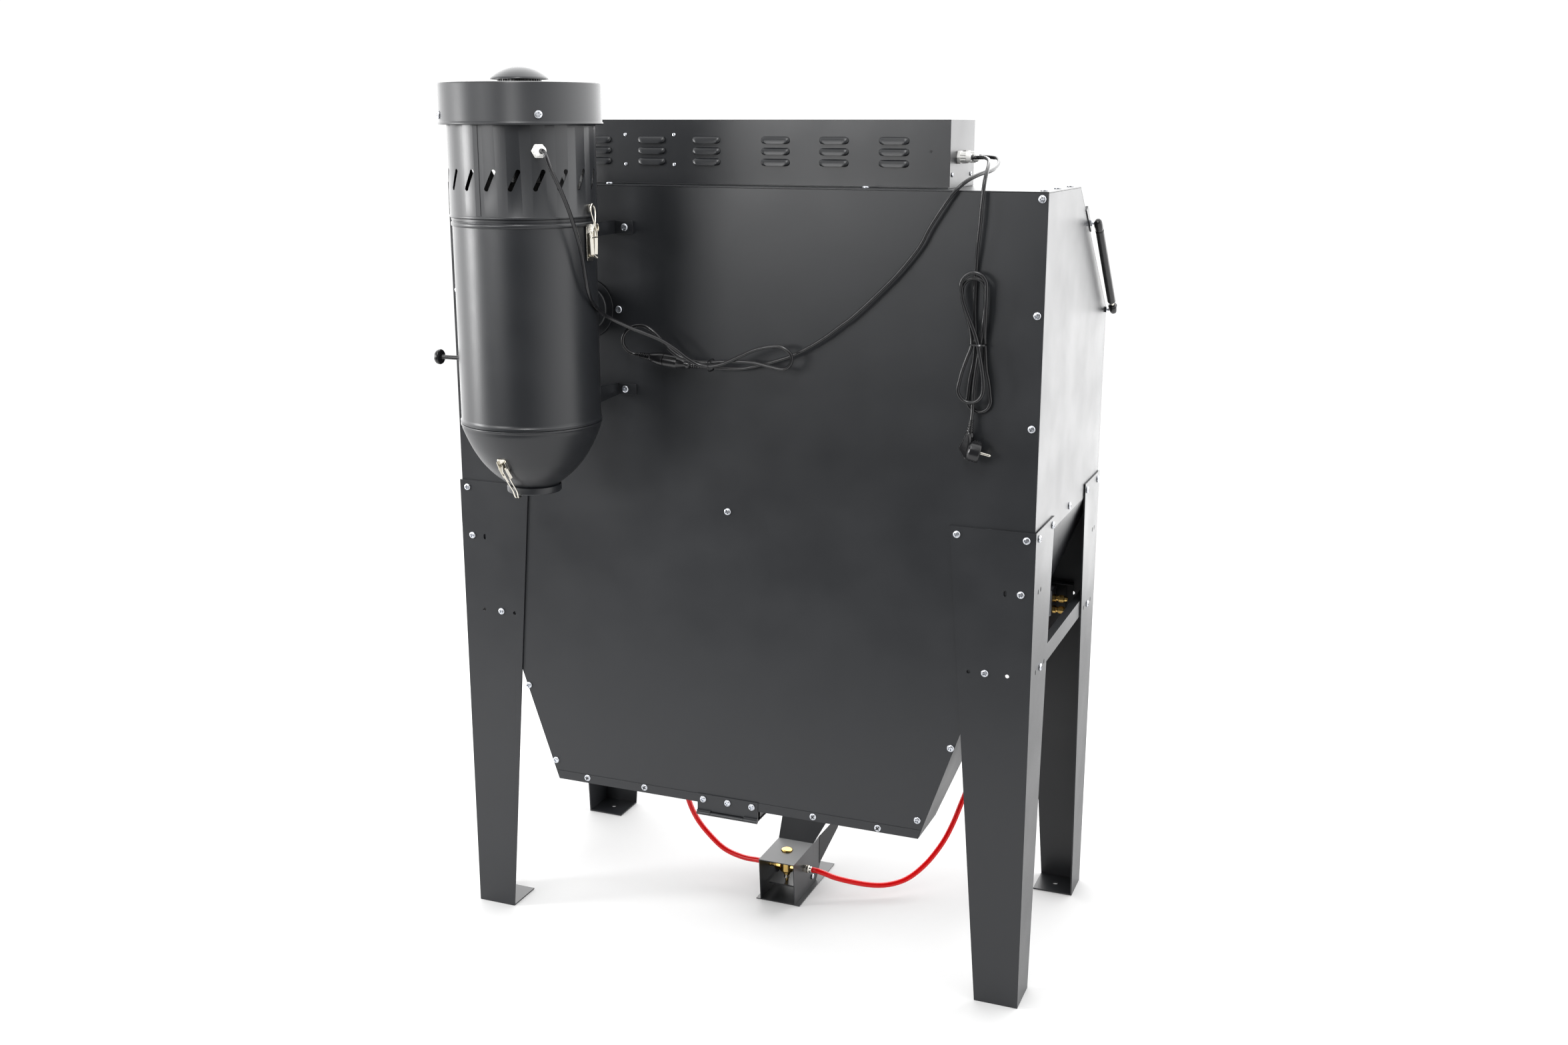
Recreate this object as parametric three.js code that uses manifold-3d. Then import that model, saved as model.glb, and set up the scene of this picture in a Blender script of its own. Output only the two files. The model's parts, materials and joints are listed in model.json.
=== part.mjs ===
// Abrasive-blast cabinet on four sheet legs, with a light box on its roof, a dust collector on its
// back and a foot pedal air valve under its hopper. Millimetres, +Z up. The operator stands at -Y,
// the collector hangs at +Y, and left and right are the operator's. Inside this file heights start
// at the floor and Y starts at the rear panel's outer face; the last lines centre the footprint.
import * as THREE from 'three';
import { mergeVertices } from 'three/addons/utils/BufferGeometryUtils.js';
import Module from 'manifold-3d';

const wasm = await Module();
wasm.setup();

// ---- Driving dimensions ---------------------------------------------------------------------
const sheet = 2;                 // thickness of the cabinet's panels
const gap = 0.3;                 // clearance between pieces that touch
const halfWidth = 600;
const depth = 580;
const roofHeight = 1548.5;
const roofDepth = 266;           // flat part of the roof, front to back
const bendHeight = 1293.5;       // where the sloped window meets the upright front
const wallBottom = 920;
const hopper = { top: wallBottom - 1, bottom: 318, halfWidth: 395, depth: 120 };
const leg = { top: 948.6, backWidth: 157.5, sideWidth: 145.6, foot: 83, thick: 3 };
const brace = { low: 661, high: 696 };
const lid = { start: 3, end: 402.5, openingHalf: 360, openingTop: 75, openingLow: 325 };
const hingeLine = { y: -roofDepth, z: roofHeight + 5.5, barrel: 4, pin: 2 };
const strut = { x: 617, lower: [397, -10], upper: [120, 5], tube: 8.8, rod: 4, ball: 5 };
const port = { x: 230, z: 1108, radius: 88 };
const lightBox = { half: 405, back: -68, front: -228, top: 1668, wall: 1.5 };
const louvre = { columns: [70, 185, 300], rows: [1631, 1611, 1591], half: 23, slot: 4 };
const duct = { z: 1314, radius: 42, flange: 58 };
const collector = { x: 297, y: 220, radius: 127, wall: 2, low: 1131.3, joint: 1500, top: 1729 };
const head = { radius: 130, slots: 19, slotZ: 1566, slotTall: 37, slotWide: 9, slotLean: 14 };
const knob = { y: 220, z: 1237, inner: 392, outer: 498 };
const latch = { x: 161, y: 220, pivot: 1484, tip: 1432, hook: 1523 };
const bowlLatch = { x: 300, pivotR: 101, pivotZ: 1062 };
const door = { x0: -60, x1: 73, front: -108, z: 297.7, axisY: 5, barrel: 4 };
const pedal = { x0: -63, x1: 40, back: -225.5, front: -448, left: -52, right: 30, top: 100 };
const valve = { x: -11, y: -281, portZ: 64 };
const treadlePivot = { y: -330, z: 22 };
const cord = 3.5;                // radius of the mains leads
const hose = 6;                  // radius of the air hoses

const leadRoutes = {
  mains: [[-430.3, -120, 1602], [-442, -120, 1602], [-456, -109, 1602], [-469, -84, 1600],
    [-479, -56, 1597], [-486, -28, 1591], [-489, -5, 1580], [-489, 9, 1562], [-487, 14, 1530],
    [-485, 14, 1497], [-482, 13, 1461], [-479.5, 9, 1430], [-478.5, 8, 1415.3]],
  collector: [[190.8, 333.5, 1615], [182, 342.9, 1615], [175, 347, 1606], [170, 340, 1584],
    [165, 319, 1550], [161, 298, 1512], [159, 277, 1469], [158, 266, 1440], [158, 255, 1401],
    [160, 240, 1368], [167, 205, 1342], [166, 160, 1319], [142, 120, 1296], [121, 98, 1283],
    [98, 78, 1269], [78, 62, 1252], [58, 52, 1234], [36, 46, 1222.6], [10, 43, 1222],
    [-14, 42, 1229], [-42, 42, 1242], [-74, 42, 1256.5], [-105, 42, 1264], [-126, 41.5, 1264.4],
    [-142, 41, 1254.5], [-146, 40, 1243], [-141, 39, 1230.5], [-127, 38, 1223], [-100, 37, 1226.5],
    [-66, 36, 1232], [-24, 35.5, 1231.5], [20, 35.5, 1227.5], [52, 36, 1227.5], [80, 39, 1234.5],
    [100, 42, 1248], [117, 45, 1267], [133, 47, 1282], [151, 47, 1290.5], [171, 46, 1289],
    [188, 44, 1280], [198.5, 40, 1266.5], [201, 36, 1253.5], [197, 31, 1242], [190.2, 27, 1235.2],
    [182.2, 24.3, 1232.7], [174.2, 24, 1231.7]],
  lamp: [[47.2, 20, 1216.9], [37.3, 19.7, 1215.8], [18, 20, 1215.4], [-4, 19, 1214.8],
    [-37, 17, 1216.3], [-71, 15, 1224], [-104, 15, 1233.8], [-137, 15, 1245.7], [-170, 15, 1263],
    [-202, 15, 1283], [-234, 15, 1307], [-255, 15, 1323], [-293, 14, 1358], [-336, 14, 1401],
    [-375, 14, 1449], [-393, 14, 1482], [-412, 14, 1512], [-433, 11, 1542], [-453, 0, 1563],
    [-469, -30, 1575], [-478, -70, 1580], [-480, -110, 1587], [-476, -140, 1594],
    [-464, -166, 1600], [-446, -175, 1602], [-430.3, -175, 1602]],
  leftHose: [[-70.3, -281, 64], [-82, -281, 64], [-98, -284, 59], [-129, -296, 46],
    [-185, -320, 32], [-226, -342, 29], [-263, -370, 38], [-296, -400, 66], [-323, -430, 106],
    [-340, -455, 147], [-356, -475, 200], [-385, -500, 290], [-425, -520, 400], [-465, -536, 500],
    [-493, -542, 560], [-500, -543, 595], [-500, -543, 611.7]],
  rightHose: [[48.4, -281, 64], [62, -281, 64], [98, -281, 65], [142, -281, 78], [182, -281, 110],
    [209, -281, 142], [228, -281, 182], [243, -284, 240], [252, -294, 310], [256, -308, 380],
    [253, -314, 430], [250, -301.7, 467.1], [250, -290.6, 475.6]],
};

// ---- Materials ------------------------------------------------------------------------------
const finish = (color, roughness, metalness) =>
  new THREE.MeshStandardMaterial({ color, roughness, metalness });
const powderCoat = finish(0x1c1d1e, 0.45, 0.2);
const zinc = finish(0xc9ccd0, 0.35, 0.9);
const nickel = finish(0xb9b6ae, 0.25, 0.95);
const brass = finish(0xb08a3c, 0.3, 0.9);
const blackPlastic = finish(0x121212, 0.5, 0);
const palePlastic = finish(0xd8dad8, 0.5, 0);
const blackRubber = finish(0x0c0c0c, 0.8, 0);
const redHose = finish(0xd81414, 0.3, 0);
const clearGlass = finish(0xbfd0d4, 0.05, 0);
const filterPaper = finish(0xd9d2bd, 0.9, 0);

// ---- Geometry helpers -----------------------------------------------------------------------
// An indexed copy with shared corners merged, no zero triangles, and faces pointing out.
function closed(geometry) {
  const copy = geometry.clone();
  copy.deleteAttribute('normal');
  copy.deleteAttribute('uv');
  const merged = mergeVertices(copy, 1e-4);
  const at = merged.getAttribute('position');
  const corner = (i) => new THREE.Vector3().fromBufferAttribute(at, i);
  const kept = [];
  let volume = 0;
  for (let i = 0; i < merged.index.count; i += 3) {
    const [a, b, c] = [0, 1, 2].map((k) => merged.index.getX(i + k));
    if (a === b || b === c || a === c) continue;
    kept.push(a, b, c);
    volume += corner(a).dot(corner(b).cross(corner(c)));
  }
  if (volume < 0) kept.reverse();
  merged.setIndex(kept);
  merged.clearGroups();
  return merged;
}

function solid(geometry) {
  const mesh = closed(geometry);
  return new wasm.Manifold(new wasm.Mesh({
    numProp: 3,
    vertProperties: new Float32Array(mesh.getAttribute('position').array),
    triVerts: new Uint32Array(mesh.index.array),
  }));
}

function shapeOf(manifold) {
  const mesh = manifold.getMesh();
  const geometry = new THREE.BufferGeometry();
  geometry.setAttribute('position', new THREE.BufferAttribute(mesh.vertProperties, 3));
  geometry.setIndex([...mesh.triVerts]);
  return geometry;
}

const fuse = (...pieces) => shapeOf(pieces.map(solid).reduce((all, next) => all.add(next)));

const carve = (piece, ...tools) =>
  shapeOf(tools.map(solid).reduce((all, next) => all.subtract(next), solid(piece)));

function block(x0, x1, y0, y1, z0, z1) {
  const size = [x1 - x0, y1 - y0, z1 - z0].map(Math.abs);
  return new THREE.BoxGeometry(...size)
    .translate((x0 + x1) / 2, (y0 + y1) / 2, (z0 + z1) / 2);
}

const vector = (p) => new THREE.Vector3(...p);

// Moves a shape built around +Z so that it starts at one point and runs towards another.
function aim(geometry, from, to) {
  const way = vector(to).sub(vector(from)).normalize();
  const turn = new THREE.Quaternion().setFromUnitVectors(new THREE.Vector3(0, 0, 1), way);
  return geometry.applyQuaternion(turn).translate(...from);
}

function bar(from, to, radius, sides = 16) {
  const length = vector(to).distanceTo(vector(from));
  const round = closed(new THREE.CylinderGeometry(radius, radius, length, sides))
    .rotateX(Math.PI / 2).translate(0, 0, length / 2);
  return aim(round, from, to);
}

const ellipsoid = (centre, radii, around, along) =>
  closed(new THREE.SphereGeometry(1, around, along)).scale(...radii).translate(...centre);

// A profile of [radius, height] pairs turned about a vertical axis.
function turned(profile, sides, x = 0, y = 0) {
  const points = profile.map(([r, z]) => new THREE.Vector2(r, z));
  return closed(new THREE.LatheGeometry(points, sides)).rotateX(Math.PI / 2).translate(x, y, 0);
}

const ring = (inner, outer, z0, z1) => [[inner, z0], [outer, z0], [outer, z1], [inner, z1],
  [inner, z0]];

// A closed outline, wound counter-clockwise whichever way its points are given.
function outline(points) {
  const corners = points.map(([a, b]) => new THREE.Vector2(a, b));
  if (THREE.ShapeUtils.isClockWise(corners)) corners.reverse();
  return new THREE.Shape(corners);
}

// An outline with holes, pushed out from one plane. The matrix maps (across, up, through).
function pushed(points, holes, length, matrix) {
  const shape = outline(points);
  shape.holes = holes.map(outline);
  return new THREE.ExtrudeGeometry(shape, { depth: length, bevelEnabled: false })
    .applyMatrix4(matrix);
}

const basis = (across, up, through, origin) =>
  new THREE.Matrix4().makeBasis(vector(across), vector(up), vector(through))
    .setPosition(...origin);

const plateYZ = (points, x0, x1, holes = []) =>
  pushed(points, holes, x1 - x0, basis([0, 1, 0], [0, 0, 1], [1, 0, 0], [x0, 0, 0]));

const plateXZ = (points, y0, y1, holes = []) =>
  pushed(points, holes, y1 - y0, basis([1, 0, 0], [0, 0, 1], [0, -1, 0], [0, y1, 0]));

const circle = (a, b, radius, sides = 24) => Array.from({ length: sides }, (_, i) => {
  const angle = (2 * Math.PI * i) / sides;
  return [a + radius * Math.cos(angle), b + radius * Math.sin(angle)];
});

const rectangle = (a0, a1, b0, b1) => [[a0, b0], [a1, b0], [a1, b1], [a0, b1]];

// A round-ended slot, centred, leaning by the given shift of its top end.
function slotOutline(a, b, wide, tall, lean = 0) {
  const r = wide / 2;
  const half = tall / 2 - r;
  const end = (side) => [0, 1, 2, 3].map((i) => {
    const angle = (side > 0 ? 0 : Math.PI) + (Math.PI * i) / 3;
    return [a + (side * lean) / 2 + r * Math.cos(angle), b + side * half + r * Math.sin(angle)];
  });
  return [...end(1), ...end(-1)];
}

// A flat plate from the corners of one face, thickened towards that face's normal.
function plateFrom(corners, thick) {
  const [p, q, r] = corners.map(vector);
  const across = q.clone().sub(p).normalize();
  const through = across.clone().cross(r.clone().sub(p)).normalize();
  const up = through.clone().cross(across);
  const flat = corners.map((c) => {
    const d = vector(c).sub(p);
    return [d.dot(across), d.dot(up)];
  });
  return pushed(flat, [], thick, new THREE.Matrix4().makeBasis(across, up, through)
    .setPosition(p));
}

function tubeAlong(points, radius, sides, steps) {
  const path = new THREE.CatmullRomCurve3(points.map(vector), false, 'centripetal');
  return new THREE.ExtrudeGeometry(outline(circle(0, 0, radius, sides)),
    { steps, extrudePath: path, bevelEnabled: false });
}

// ---- The sloped front -----------------------------------------------------------------------
// s runs down the slope from the roof's front edge and n stands out of it.
const slopeAngle = Math.atan2(roofHeight - bendHeight, depth - roofDepth);
const down = [-Math.cos(slopeAngle), -Math.sin(slopeAngle)];
const out = [-Math.sin(slopeAngle), Math.cos(slopeAngle)];
const onSlope = (s, n) => [-roofDepth + down[0] * s + out[0] * n,
  roofHeight + down[1] * s + out[1] * n];
const slopeHeight = (y, n) => roofHeight + down[1] * ((y + roofDepth - out[0] * n) / down[0])
  + out[1] * n;

function slopeSheet(points, n0, n1, holes = []) {
  const flip = (list) => list.map(([x, s]) => [x, -s]);
  return pushed(flip(points), holes.map(flip), n1 - n0,
    basis([1, 0, 0], [0, -down[0], -down[1]], [0, ...out], [0, ...onSlope(0, n0)]));
}

// ---- Assembly -------------------------------------------------------------------------------
const cabinet = new THREE.Group();

function add(name, geometry, material) {
  const mesh = new THREE.Mesh(closed(geometry), material);
  mesh.name = name;
  cabinet.add(mesh);
}

const sides = [['left', -1], ['right', 1]];

function addPanels() {
  const wallTop = roofHeight - sheet - gap;
  const back = -sheet - gap;
  const front = -depth + sheet + gap;
  add('rear_panel', plateXZ([
    [-halfWidth, hopper.top], [-hopper.halfWidth, hopper.bottom],
    [hopper.halfWidth, hopper.bottom], [halfWidth, hopper.top],
    [halfWidth, wallTop], [-halfWidth, wallTop],
  ], -sheet, 0, [circle(collector.x, duct.z, duct.radius + 0.5, 32)]), powderCoat);

  const underLid = -sheet - 0.5;
  const roofCorner = -roofDepth + 1.1;
  for (const [side, s] of sides) {
    const wall = plateYZ([
      [back, wallBottom], [back, wallTop], [roofCorner, wallTop],
      [front, slopeHeight(front, underLid)], [front, wallBottom],
    ], s > 0 ? halfWidth - sheet : -halfWidth, s > 0 ? halfWidth : -halfWidth + sheet);
    const [y, z] = onSlope(...strut.lower);
    const nut = bar([s * (halfWidth - 1), y, z], [s * (halfWidth + 4), y, z], 6.5, 6);
    const shank = bar([s * halfWidth, y, z], [s * strut.x, y, z], 2.5, 8);
    const ball = ellipsoid([s * strut.x, y, z], [strut.ball, strut.ball, strut.ball], 12, 8);
    add(`${side}_side_panel`, fuse(wall, nut, shank, ball), powderCoat);
  }

  add('roof_panel', carve(
    block(-halfWidth, halfWidth, -roofDepth, 0, roofHeight - sheet, roofHeight),
    block(-290, 290, -215, -80, roofHeight - 5, roofHeight + 5)), powderCoat);
  add('front_panel', plateXZ(
    rectangle(-halfWidth, halfWidth, wallBottom, bendHeight - 3.5), -depth, -depth + sheet,
    [circle(-port.x, port.z, port.radius), circle(port.x, port.z, port.radius)]), powderCoat);
}

function addHopper() {
  const { top, bottom } = hopper;
  const back = -sheet - gap;
  const front = -depth + sheet + gap;
  for (const [side, s] of sides) {
    const corners = [[s * halfWidth, back, top], [s * halfWidth, front, top],
      [s * hopper.halfWidth, -hopper.depth, bottom], [s * hopper.halfWidth, back, bottom]];
    add(`hopper_${side}`, plateFrom(s < 0 ? corners : corners.reverse(), sheet), powderCoat);
  }
  const inset = 3.2;
  const slanted = plateFrom([
    [-halfWidth + inset, front, top], [halfWidth - inset, front, top],
    [hopper.halfWidth - inset, -hopper.depth, bottom],
    [-hopper.halfWidth + inset, -hopper.depth, bottom]], sheet);
  const floor = block(-391, 391, -hopper.depth - 1, back, bottom + gap, bottom + gap + sheet);
  const spout = block(door.x0 + 2, door.x1 - 2, -104, -14, 299, bottom + 1);
  const outlet = block(door.x0 + 4, door.x1 - 4, -102, -16, 290, bottom + 10);
  const airInlet = bar([250, -256.1, 501.8], [250, -290.3, 475.8], 8, 12);
  add('hopper_front', carve(fuse(slanted, floor, spout, airInlet), outlet), powderCoat);
}

function addCleanout() {
  const { x0, x1, z, axisY, barrel } = door;
  const [inner0, inner1] = [x0 + 30.5, x1 - 30.5];
  const knuckle = (from, to) => bar([from, axisY, z], [to, axisY, z], barrel, 16);
  const link = (from, to) => block(from, to, gap, 6, z + 2.8, 304);
  add('cleanout_hinge', fuse(
    block(x0, x1, gap, gap + sheet, 302, 338), link(x0, x0 + 30), link(x1 - 30, x1),
    knuckle(x0, x0 + 30), knuckle(x1 - 30, x1),
    bar([x0, axisY, z], [x1, axisY, z], 2, 12)), powderCoat);
  add('cleanout_door', carve(fuse(
    block(x0, x1, door.front, 0.4, z - 1, z + 1),
    block(x0, x1, door.front, door.front + sheet, z - 12, z + 1),
    block(inner0, inner1, 0, 2.4, z - 1, z + 1),
    knuckle(inner0, inner1)),
  bar([x0, axisY, z], [x1, axisY, z], 2.5, 12)), powderCoat);
}

// One leg: two tapered flanges outside the walls and a foot tab, with its open bolt holes.
function legShape(s, rear) {
  const y = (inward) => (rear ? -inward : inward - depth);
  const outX = halfWidth + gap + leg.thick;
  const outY = gap + leg.thick;
  const span = (a, b) => [Math.min(a, b), Math.max(a, b)];
  const backFlange = plateXZ([
    [s * outX, 0], [s * (halfWidth - leg.foot), 0],
    [s * (halfWidth - leg.backWidth), leg.top], [s * outX, leg.top],
  ], ...span(y(-gap), y(-outY)));
  const sideFlange = plateYZ([
    [y(-outY), 0], [y(leg.foot - 2), 0], [y(leg.sideWidth), leg.top], [y(-outY), leg.top],
  ], ...span(s * (halfWidth + gap), s * outX));
  const [foot0, foot1] = span(s * outX, s * (halfWidth - leg.foot));
  const [near, far] = span(y(-outY), y(leg.foot - 2));
  const foot = block(foot0, foot1, near, far, 0, leg.thick);
  const through = span(y(-10), y(10));
  const backHoles = [circle(s * (halfWidth - 41), 673, 4, 8), circle(s * (halfWidth - 114), 673, 4, 8),
    slotOutline(s * (halfWidth - 50), 831, 6, 12)].map((hole) => plateXZ(hole, ...through));
  const across = span(s * (halfWidth - 10), s * (halfWidth + 10));
  const sideHoles = [[30, 831], [50, 831], [35, 674], [105, 674]]
    .map(([inward, z]) => plateYZ(slotOutline(y(inward), z, 5, 10), ...across));
  const footHole = bar([s * (halfWidth - 42), y(40), -5], [s * (halfWidth - 42), y(40), 10], 6, 12);
  return carve(fuse(backFlange, sideFlange, foot), ...backHoles, ...sideHoles, footHole);
}

function addLegs() {
  for (const [side, s] of sides) {
    add(`rear_${side}_leg`, legShape(s, true), powderCoat);
    add(`front_${side}_leg`, legShape(s, false), powderCoat);
    const outer = s * (halfWidth - gap);
    const web = s * (halfWidth - gap - sheet);
    add(`${side}_brace`, fuse(
      block(outer, web, -545, -45, brace.low, brace.high),
      block(outer, s * (halfWidth - 17), -545, -45, brace.high - sheet, brace.high)), powderCoat);
  }
  const face = -depth + gap;
  add('front_brace', fuse(
    block(-560, 560, face, face + sheet, brace.low, brace.high),
    block(-560, 560, face, face + 17, brace.high - sheet, brace.high)), powderCoat);
}

function addGrate() {
  const [halfX, front, back] = [590.3, -559.6, -2.8];
  const [columns, rows, rib] = [10, 5, 12];
  const cellX = (2 * halfX - rib) / columns;
  const cellY = (back - front - rib) / rows;
  const holes = [];
  for (let i = 0; i < columns; i += 1) {
    for (let j = 0; j < rows; j += 1) {
      const x = -halfX + rib + i * cellX;
      const y = front + rib + j * cellY;
      holes.push(block(x, x + cellX - rib, y, y + cellY - rib, 890, 916));
    }
  }
  add('work_grate', carve(block(-halfX, halfX, front, back, 900, 906), ...holes), zinc);
}

function addLid() {
  const plate = slopeSheet(rectangle(-halfWidth, halfWidth, lid.start, lid.end), -sheet, 0,
    [rectangle(-lid.openingHalf, lid.openingHalf, lid.openingTop, lid.openingLow)]);
  const pieces = [];
  const bores = [];
  const { y, z, barrel, pin } = hingeLine;
  sides.forEach(([, s]) => {
    const lug = [[72, -1], [140, -1], [140, 10], [102, 10], [86, 14], [76, 12]]
      .map(([along, n]) => onSlope(along, n));
    pieces.push(plateYZ(lug, Math.min(s * 597, s * 602), Math.max(s * 597, s * 602)));
    const [studY, studZ] = onSlope(...strut.upper);
    pieces.push(bar([s * 601, studY, studZ], [s * 605, studY, studZ], 5.5, 6));
    pieces.push(bar([s * 601, studY, studZ], [s * 607.8, studY, studZ], 2.5, 8));
    const middle = s * 300;
    pieces.push(slopeSheet(rectangle(middle - 30, middle + 30, 4, 40), -0.5, 2));
    pieces.push(slopeSheet(rectangle(middle - 13.4, middle + 13.4, -3, 8), 0.4, 2));
    pieces.push(bar([middle - 13.4, y, z], [middle + 13.4, y, z], barrel, 16));
    bores.push(bar([middle - 20, y, z], [middle + 20, y, z], pin + 0.5, 12));
    const post = (n) => [s * 70, ...onSlope(365, n)];
    pieces.push(bar(post(-1), post(34), 5, 12));
  });
  pieces.push(bar([-76, ...onSlope(365, 30)], [76, ...onSlope(365, 30)], 6, 12));
  add('window_lid', carve(fuse(plate, ...pieces), ...bores), powderCoat);

  add('window_glass', slopeSheet(rectangle(-378, 378, 57, 343), -6.3, -2.3), clearGlass);
  for (const [side, s] of sides) {
    const middle = s * 300;
    const leaf = block(middle - 30, middle + 30, y + 5, -232, roofHeight + gap, roofHeight + 2.1);
    const ends = [[-30, -14], [14, 30]].flatMap(([a, b]) => [
      block(middle + a, middle + b, y, -232, roofHeight + gap, roofHeight + 2.1),
      bar([middle + a, y, z], [middle + b, y, z], barrel, 16)]);
    const pinBar = bar([middle - 30, y, z], [middle + 30, y, z], pin, 12);
    add(`lid_hinge_${side}`, fuse(leaf, ...ends, pinBar), powderCoat);
  }
}

function addStruts() {
  const [lowY, lowZ] = onSlope(...strut.lower);
  const [highY, highZ] = onSlope(...strut.upper);
  const length = Math.hypot(highY - lowY, highZ - lowZ);
  const way = [(highY - lowY) / length, (highZ - lowZ) / length];
  for (const [side, s] of sides) {
    const x = s * strut.x;
    const at = (d) => [x, lowY + way[0] * d, lowZ + way[1] * d];
    const socketBore = bar([s * (strut.x - 10), lowY, lowZ], [s * (strut.x + 5.6), lowY, lowZ],
      strut.ball + 0.6, 12);
    add(`strut_rod_${side}`, carve(
      fuse(bar(at(-9), at(14), 8.5, 16), bar(at(13), at(240), strut.rod, 12)), socketBore),
    nickel);
    add(`strut_tube_${side}`, carve(
      fuse(bar(at(30), at(length - 11), strut.tube, 16), bar(at(length - 14), at(length + 9), 8.5)),
      bar(at(29), at(250), strut.rod + 1, 12)), blackPlastic);
  }
}

// A cable gland along one direction: threaded shank, hexagon, dome nut.
function gland(base, way) {
  const at = (d) => base.map((value, i) => value + way[i] * d);
  return fuse(bar(at(-4), at(gap + 1), 7.5, 12), bar(at(gap), at(6), 12.5, 6),
    bar(at(5), at(19), 10.5, 12), bar(at(18), at(25), 7.5, 12));
}

function addLightBox() {
  const { half, back, front, top, wall } = lightBox;
  const base = roofHeight + gap;
  const shell = carve(block(-half, half, front, back, base, top),
    block(-half + wall, half - wall, front + wall, back - wall, base - 5, top - wall));
  const holders = [-1, 1].map((s) => block(s * 292.5, s * 304, -162, -134, 1594, top - 1));
  const lip = block(-half, half, back - 0.5, back + 10, base, base + wall);
  const slots = [];
  for (const x of louvre.columns) {
    for (const s of [-1, 1]) {
      for (const z of louvre.rows) {
        slots.push(block(s * x - louvre.half, s * x + louvre.half, back - 3, back + 3,
          z - louvre.slot / 2, z + louvre.slot / 2));
      }
    }
  }
  const glandHoles = [-120, -175].map((y) => bar([-half - 5, y, 1602], [-half + 5, y, 1602], 8, 12));
  add('light_box', carve(fuse(shell, lip, ...holders), ...slots, ...glandHoles), powderCoat);
  add('lamp_tube', bar([-292, -148, 1610], [292, -148, 1610], 13, 16), clearGlass);
  add('mains_gland', gland([-half, -120, 1602], [-1, 0, 0]), palePlastic);
  add('lamp_gland', gland([-half, -175, 1602], [-1, 0, 0]), palePlastic);
}

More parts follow.
